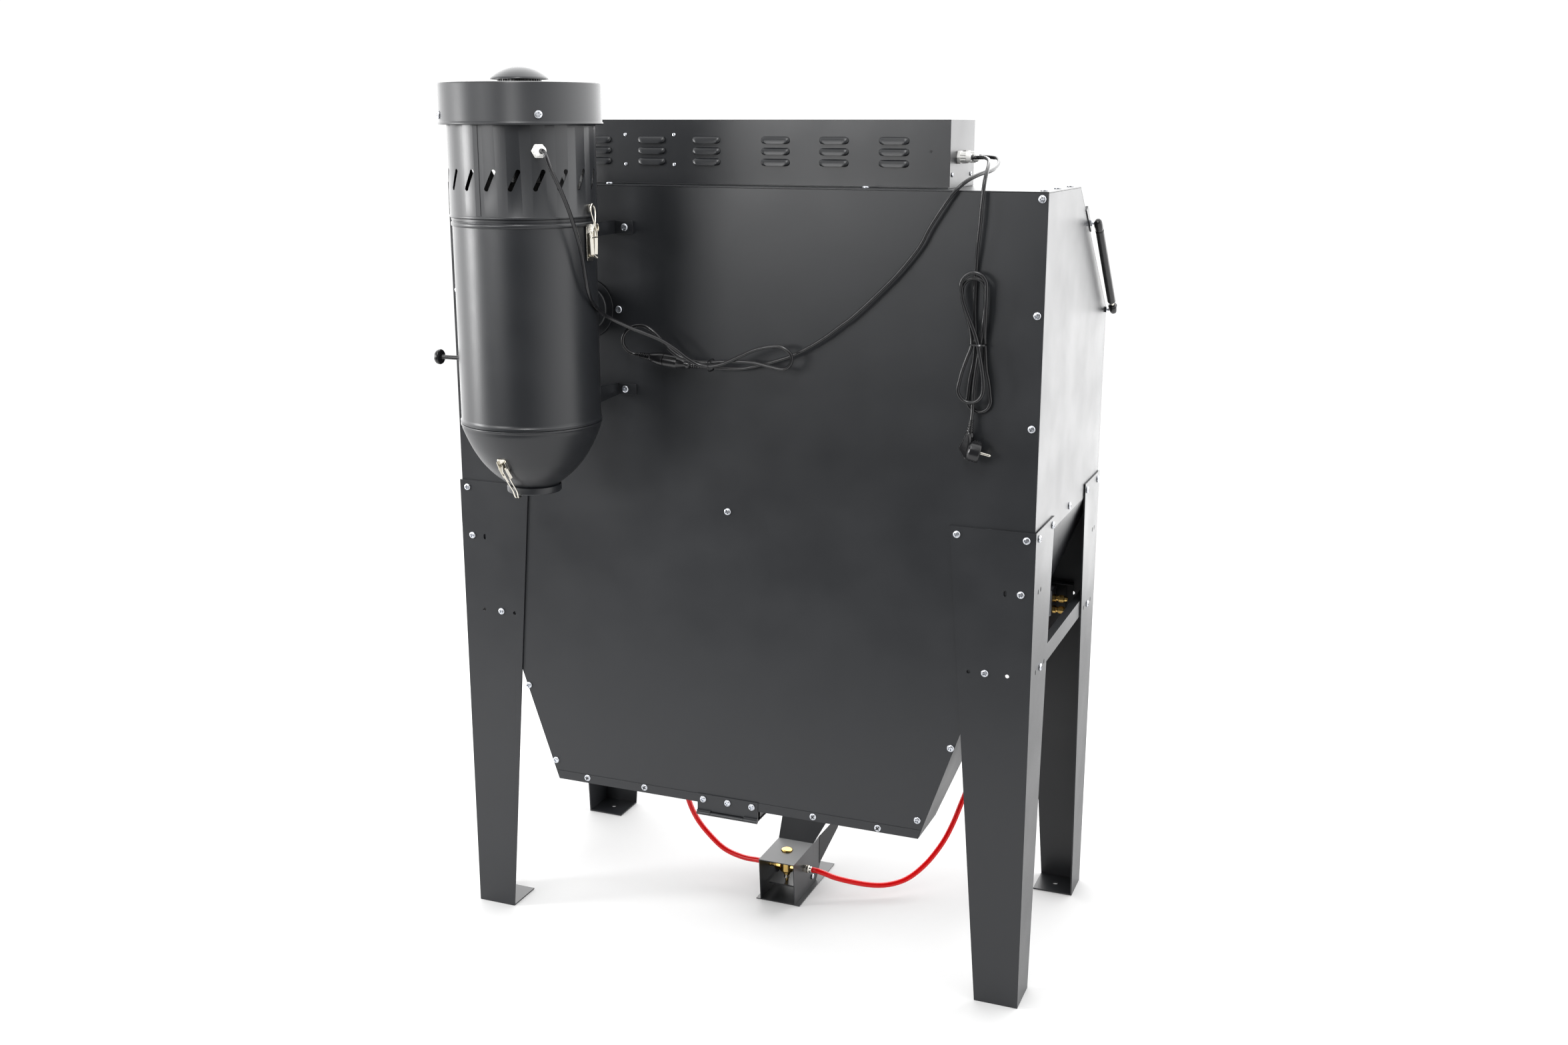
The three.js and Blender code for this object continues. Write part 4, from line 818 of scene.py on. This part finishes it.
def build_struts():
    low, high = on_slope(397, -10), on_slope(120, 5)
    for side, s in (("left", -1), ("right", 1)):
        x = s * 617
        foot, top = at(x, *low), at(x, *high)
        way = (top - foot).normalized()
        length = (top - foot).length / MM
        place = frame_at(foot, way)
        tube = Shape().lathe(soften([(4.6, 30), (8.2, 30), (8.7, 31.5), (8.7, length - 22),
                                     (8.2, length - 20),
                                     (7.2, length - 19), (6.6, length - 14), (0, length - 14), (0, 250),
                                     (4.6, 250),
                                     (4.6, 30)], 0.8, 3), place, 48)
        socket = [(0, length - 17), (8, length - 17), (8.6, length - 14), (8.6, length - 4),
                  (7.6, length + 4),
                  (5, length + 8.4), (0, length + 9)]
        tube.lathe(soften(socket, 2.5, 4), place, 40)
        piece(f"strut_cylinder_{side}", tube, "black_plastic", f"strut_tube_{side}",
              replaces=[f"strut_tube_{side}"])
        rod = Shape().lathe([(0, 12), (4, 12), (4, 240), (0, 240)], place, 32)
        piece(f"strut_piston_{side}", rod, "nickel_plate", f"strut_rod_{side}",
              replaces=[f"strut_rod_{side}"])
        end = Shape().lathe(soften([(0, -9), (5, -8.4), (7.6, -4), (8.5, 4), (8.5, 12), (7.4, 14), (5.6, 18),
                                    (0, 18)], 2.5, 4),
                            place, 40)
        ring = [foot + way * (13 * MM) + (frame_at(foot, way).to_3x3()
                                          @ Vector((8.1 * math.cos(t), 8.1 * math.sin(t), 0)))
                for t in (2 * math.pi * k / 24 for k in range(23))]
        end.sweep(ring, ring_of(0.7, 8))
        piece(f"strut_socket_{side}", end, "black_plastic", f"strut_rod_{side}")
        for name, (y, z), body in (("lower", low, "cabinet"), ("upper", high, "lid")):
            nut = Shape()
            start = 600 if name == "lower" else 602
            nut.prism(soften(ring_of(6.4, 6), 0.9, 2, True), 0, 4.2,
                      frame_at(at(s * start, y, z), (s, 0, 0)))
            nut.lathe([(0, 0), (3, 0), (3, 7), (0, 7)], frame_at(at(s * start, y, z), (s, 0, 0)), 20)
            piece(f"strut_nut_{name}_{side}", nut, "zinc_plate", body, edge=0.3)


build_struts()


# ---- Foot pedal -------------------------------------------------------------------------------
def build_pedal():
    shape = Shape()
    vertical = upright(-11, -281)
    shape.lathe(soften([(0, 45), (8, 45), (8, 49), (13, 51), (15, 54), (15, 82), (12, 85), (12, 103),
                        (9.6, 104), (0, 104)], 0.8), vertical, 64)
    shape.prism(soften(ring_of(13.2, 6, 0.3), 1, 2, True), 84, 92, vertical)
    for s in (-1, 1):
        side = frame_at(at(-11 + s * 12, -281, 64), (s, 0, 0))
        shape.prism(soften(ring_of(12, 6), 1, 2, True), 0, 14, side)
        shape.lathe(soften([(0, 12), (6.4, 12), (6.4, 24), (7.8, 25), (7.8, 29), (0, 29)], 0.5), side, 40)
    piece("valve_body", shape, "brass", edge=0.3, replaces=["pedal_valve"])
    nickel = Shape()
    for x, s in ((-52, -1), (30, 1)):
        side = frame_at(at(x, -281, 64), (s, 0, 0))
        nickel.prism(soften(ring_of(9.4, 6, 0.5), 1, 2, True), 0.3, 5.5, side)
        nickel.lathe(soften([(0, 5), (8, 5), (8, 11), (6.6, 12), (6.6, 17), (5.6, 18), (0, 18)], 0.5), side,
                     40)
        for k in range(16):
            a = 2 * math.pi * k / 16
            nickel.box(-0.7, 0.7, -0.5, 0.5, 5.5, 10.6,
                       side @ Matrix.Rotation(a, 4, "Z") @ Matrix.Translation((8, 0, 0)))
    piece("hose_fittings", nickel, "nickel_plate", edge=0.2)
    pin = Shape()
    for x, s in ((-55, -1), (33, 1)):
        pin.lathe(soften([(0, -2.6), (6, -2.6), (6, -0.4), (4.6, 0.6), (0, 0.6)], 0.6),
                  frame_at(at(x, -330, 22), (s, 0, 0)), 32)
    piece("treadle_pin_heads", pin, "zinc_plate", "treadle")
    spring = Shape()
    turns = [at(-11 + 6.2 * math.cos(t), -281 + 6.2 * math.sin(t), 36.6 + t * 0.27) for t in
             (k * 0.35 for k in range(86))]
    spring.sweep(turns, ring_of(0.7, 8))
    piece("valve_spring", spring, "nickel_plate")
    tread = Shape()
    for k in range(7):
        tread.prism(soften([(-30, -1.6), (30, -1.6), (30, 1.6), (-30, 1.6)], 1.5, 3, True), 0, 1.3,
                    frame_at(at(-11, -352 - k * 12.6, 28.6 + k * 3.75), (0, 0.285, 0.958), (0, 1, 0)))
    piece("treadle_ribs", tread, "black_rubber", "treadle")


build_pedal()


# ---- Air manifold -----------------------------------------------------------------------------
def build_manifold():
    face = -577.4
    plate = Shape()
    plate.prism(soften([(-45, 618), (45, 618), (45, 690), (-45, 690)], 4, 3, True), 0, 3,
                frame_at(at(-500, face, 0), BACK) @ Matrix.Scale(-1, 4, (1, 0, 0)))
    piece("manifold_plate", plate, "powder_coat", edge=0.3)
    block = Shape().box(-24, 24, 630, 688, 0, 44, frame_at(at(-500, -574.2, 0), BACK))
    piece("manifold_block", block, "brass", mat=CAST, edge=2.0, replaces=["air_manifold"])
    brass = Shape()
    for z in (668, 643):
        side = frame_at(at(-524, -543, z), (-1, 0, 0))
        brass.prism(soften(ring_of(8.6, 6, 0.2), 1, 2, True), 0, 8, side)
        brass.lathe(soften([(0, 7), (6, 7), (6, 12), (7.6, 13), (7.6, 24), (6.4, 26), (5, 32), (2.6, 32),
                            (2.6, 26), (0, 26)], 0.6), side, 40)
        for k in range(20):
            brass.box(-0.5, 0.5, -0.5, 0.5, 13.5, 23.5, side @ Matrix.Rotation(math.pi * k / 10, 4, "Z")
                      @ Matrix.Translation((7.6, 0, 0)))
    lower = frame_at(at(-500, -543, 631), (0, 0, -1))
    brass.prism(soften(ring_of(9.4, 6, 0.2), 1, 2, True), 0, 8, lower)
    brass.lathe(soften([(0, 7), (7, 7), (7, 18.6), (0, 18.6)], 0.6), lower, 40)
    inlet = frame_at(at(250, -257.2, 501), (0, -0.796, -0.6055))
    brass.prism(soften(ring_of(13, 6, 0.2), 1, 2, True), 0, 6, inlet)
    brass.lathe(soften([(8.2, 5), (10, 5), (10, 24), (8.8, 25), (8.2, 25), (8.2, 5)], 0.3), inlet, 40)
    brass.lathe(soften([(5.2, 33), (8.8, 33), (8.8, 42), (7, 43), (5.2, 43), (5.2, 33)], 0.3), inlet, 40)
    piece("air_couplings", brass, "brass", edge=0.3)


build_manifold()


# ---- Front: window, gloves, gun ---------------------------------------------------------------
def slope_place(x, s, n):
    y, z = on_slope(s, n)
    return frame_at(at(x, y, z), (0, OUT[0], OUT[1]), (0, -DOWN[0], -DOWN[1]))


def rounded_frame(half_x, half_y, wide, radius):
    """The outer and inner outlines of a frame with rounded corners."""
    def outline(x, y, corner):
        return soften([(-x, -y), (x, -y), (x, y), (-x, y)], corner, 5, True)

    return outline(half_x, half_y, radius), outline(half_x - wide, half_y - wide, max(radius - wide, 2))


def frame_solid(shape, half_x, half_y, wide, radius, z0, z1, place):
    outer, inner = rounded_frame(half_x, half_y, wide, radius)
    n = len(outer)
    verts = [(x, y, z) for z in (z0, z1) for ring in (outer, inner) for x, y in ring]
    faces = []
    for i in range(n):
        j = (i + 1) % n
        faces += [[i, j, n + j, n + i], [2 * n + i, 3 * n + i, 3 * n + j, 2 * n + j],
                  [i, 2 * n + i, 2 * n + j, j], [n + i, n + j, 3 * n + j, 3 * n + i]]
    return shape.add(verts, faces, place)


def build_window():
    middle = slope_place(0, 200, 0)
    trim = frame_solid(Shape(), 374, 139, 17, 14, 0.2, 3, middle)
    piece("window_trim", trim, "black_rubber", "lid", edge=0.8)
    seal = frame_solid(Shape(), 592, 194, 12, 10, -5.0, -2.2, slope_place(0, 203, 0))
    piece("lid_seal", seal, "black_rubber", "lid", mat=FOAM, edge=0.8)
    screws = [(s * x, *on_slope(v, 3), (0, OUT[0], OUT[1])) for s in (-1, 1) for x in (60, 210, 345)
              for v in (69.5, 330.5)]
    fasten("window_screws", screws, SMALL, body="lid")
    grip = Shape()
    for s in (-1, 1):
        grip.lathe(soften([(0, 0), (9, 0), (9, 2.4), (6.4, 4), (0, 4)], 0.8), slope_place(s * 70, 365, 0),
                   40)
    piece("handle_feet", grip, "powder_coat", "lid")


build_window()


def build_gloves():
    """Rubber gauntlets hanging inward from their port rings."""
    around = 48
    fingertip = [math.sqrt(max(0.08, 1 - max(0, (k / 16 - 0.75) / 0.25) ** 2)) for k in range(17)]
    for side, s in (("left", -1), ("right", 1)):
        x = s * 230
        ring = Shape().lathe(soften([(62, 0), (84, 0), (84, 4), (80, 6), (70, 6), (66, 9), (62, 9), (62, 0)],
                                    1.5, 3, True),
                             frame_at(at(x, -577.6, 1108), BACK), 96)
        piece(f"port_ring_{side}", ring, "black_rubber")
        lip = Shape().lathe(soften([(80, 0), (92, 0), (92, 2), (89, 4.4), (84, 4.4), (80, 2.4), (80, 0)], 1,
                                   3, True),
                            frame_at(at(x, -580.1, 1108), FRONT), 96)
        piece(f"port_trim_{side}", lip, "powder_coat")
        path = spline([at(x, -570, 1108), at(x, -542, 1108), at(x - s * 6, -483, 1092),
                       at(x - s * 14, -428, 1050),
                       at(x - s * 20, -406, 1010)], 14)
        rings = len(path)
        scales = [1 + 0.035 * math.sin(i * 1.9) + 0.02 * math.sin(i * 0.7 + s) - 0.24 * (i / rings) ** 2
                  for i in range(rings)]
        skin = Shape().sweep(path + path[-2::-1], ring_of(61, around),
                             scales + [k - 0.055 for k in scales[-2::-1]])
        # The sweep's two end caps are the cuff's mouth: they give way to one rim.
        skin.faces = skin.faces[2:]
        last = (2 * rings - 2) * around
        skin.faces += [[j, (j + 1) % around, last + (j + 1) % around, last + j] for j in range(around)]
        piece(f"glove_sleeve_{side}", skin, "black_rubber", angle=60, replaces=[f"glove_{side}"])
        hand = Shape()
        palm = at(x - s * 22, -396, 972)
        for spread, reach, size in ((-1.5, 74, 11), (-0.5, 84, 12), (0.5, 82, 12), (1.5, 68, 10.5)):
            root = palm + Vector((spread * 17, -6 + abs(spread) * 2, -18)) * MM
            tip = root + Vector((spread * 7, 10, -reach * 0.62)) * MM
            bend = root.lerp(tip, 0.5) + Vector((0, 8, 0)) * MM
            steps = spline([root, bend, tip], 8)
            hand.sweep(steps, ring_of(size, 20), fingertip)
        thumb = spline([palm + Vector((-s * 30, 4, 8)) * MM, palm + Vector((-s * 46, 14, -14)) * MM,
                        palm + Vector((-s * 50, 22, -36)) * MM], 8)
        hand.sweep(thumb, ring_of(13, 20), fingertip)
        profile = [(0, -44), (30, -40), (38, -24), (41, 0), (40, 24), (41, 44), (0, 46)]
        flat = frame_at(palm, (0, 0, 1)) @ Matrix.Diagonal((1.05, 0.62, 1, 1))
        hand.lathe(soften(profile, 10, 4), flat, 40)
        hand_obj = piece(f"glove_hand_{side}", hand, "black_rubber")
        mod = hand_obj.modifiers.new("join", "REMESH")
        mod.mode, mod.voxel_size, mod.use_smooth_shade = "VOXEL", 0.003, True
        soft = hand_obj.modifiers.new("soft", "SMOOTH")
        soft.factor, soft.iterations = 0.5, 8


build_gloves()


def build_gun():
    z = 922.6
    body = Shape()
    line = frame_at(at(-60, -300, z), (1, 0, 0))
    body.lathe(soften([(0, 0), (9, 0), (13, 4), (15, 12), (15.6, 40), (15, 90), (12, 104), (11, 120),
                       (0, 120)], 2, 4), line, 48)
    grip = spline([at(-25, -304, z), at(-32, -340, z), at(-45, -394, z)], 8)
    body.sweep(grip, [(a * 0.8, b) for a, b in ring_of(13, 28)])
    piece("gun_casting", body, "zinc_plate", mat=CAST, replaces=["blast_gun"])
    nozzle = Shape().lathe(soften([(5, 116), (9.6, 116), (9.6, 130), (8.6, 132), (8.6, 164), (5, 164),
                                   (5, 116)], 0.6), line, 40)
    piece("gun_nozzle", nozzle, "zinc_plate", mat=CERAMIC)
    nut = Shape().lathe(soften([(9.4, 112), (13, 112), (13, 126), (9.4, 126), (9.4, 112)], 0.5, 3), line, 40)
    nut.lathe(soften([(0, -12), (6, -12), (7, -10), (6, -8), (7, -6), (6, -4), (7, 0), (0, 2)], 0.4), line,
              32)
    piece("gun_collars", nut, "brass")


build_gun()


# ---- Sheet-metal details ----------------------------------------------------------------------
def build_trims():
    hem = Shape()
    low, high = 318.6, 337

    def half(z):
        return 395 + (z - 318) * 205 / 601 - 1.2

    hem.prism([(-half(low), low), (half(low), low), (half(high), high), (-half(high), high)], 0.05, 1.3,
              frame_at(at(0, 0, 0), BACK) @ Matrix.Scale(-1, 4, (1, 0, 0)))
    piece("lower_hem", hem, "powder_coat", edge=0.5)


build_trims()

# ---- Stage and light --------------------------------------------------------------------------
floor_mesh = bpy.data.meshes.new("floor")
floor_mesh.from_pydata([(-6, -2.8, -0.0005), (6, -2.8, -0.0005), (6, 1.7, -0.0005), (-6, 1.7, -0.0005)], [],
                       [(0, 1, 2, 3)])
floor = bpy.data.objects.new("floor", floor_mesh)
scene.collection.objects.link(floor)
paper = surface("floor_paper", (0.45, 0.45, 0.45), 0.7, tint=0.01, grain=60, bump=0.02, smudge=0.6,
                specular=0.2)
paper.node_tree.nodes["Principled BSDF"].inputs["Emission Color"].default_value = (1, 1, 1, 1)
paper.node_tree.nodes["Principled BSDF"].inputs["Emission Strength"].default_value = 0.15
floor_mesh.materials.append(paper)

world = bpy.data.worlds.new("studio")
scene.world = world
world.use_nodes = True
sky = world.node_tree
background = sky.nodes["Background"]
where, split, blend = (sky.nodes.new(k) for k in ("ShaderNodeTexCoord", "ShaderNodeSeparateXYZ",
                                                  "ShaderNodeMapRange"))
sky.links.new(where.outputs["Generated"], split.inputs[0])
sky.links.new(split.outputs["Y"], blend.inputs["Value"])
blend.inputs["From Min"].default_value = 0.9
blend.inputs["From Max"].default_value = -0.5
blend.inputs["To Min"].default_value = 0.1
blend.inputs["To Max"].default_value = 3.7
seen, backdrop = sky.nodes.new("ShaderNodeLightPath"), sky.nodes.new("ShaderNodeMix")
backdrop.inputs[3].default_value = 1.05
sky.links.new(seen.outputs["Is Camera Ray"], backdrop.inputs[0])
sky.links.new(blend.outputs[0], backdrop.inputs[2])
sky.links.new(backdrop.outputs[0], background.inputs["Strength"])
background.inputs["Color"].default_value = (1, 1, 1, 1)


def softbox(name, spot, target, wide, high, watts):
    data = bpy.data.lights.new(name, "AREA")
    data.shape, data.size, data.size_y, data.energy = "RECTANGLE", wide, high, watts
    lamp = bpy.data.objects.new(name, data)
    lamp.location = spot
    lamp.rotation_euler = (Vector(target) - Vector(spot)).to_track_quat("-Z", "Y").to_euler()
    scene.collection.objects.link(lamp)


softbox("side_softbox", (4.4, 2.3, 1.8), (0, 0.1, 1.1), 0.8, 2.2, 190)
softbox("strip_light", (-0.4, 2.3, 3.5), (0, -0.2, 0.6), 0.3, 1.4, 45)
softbox("key_softbox", (1.5, 3.7, 2.15), (0.1, 0, 1.5), 1.6, 1.5, 66)
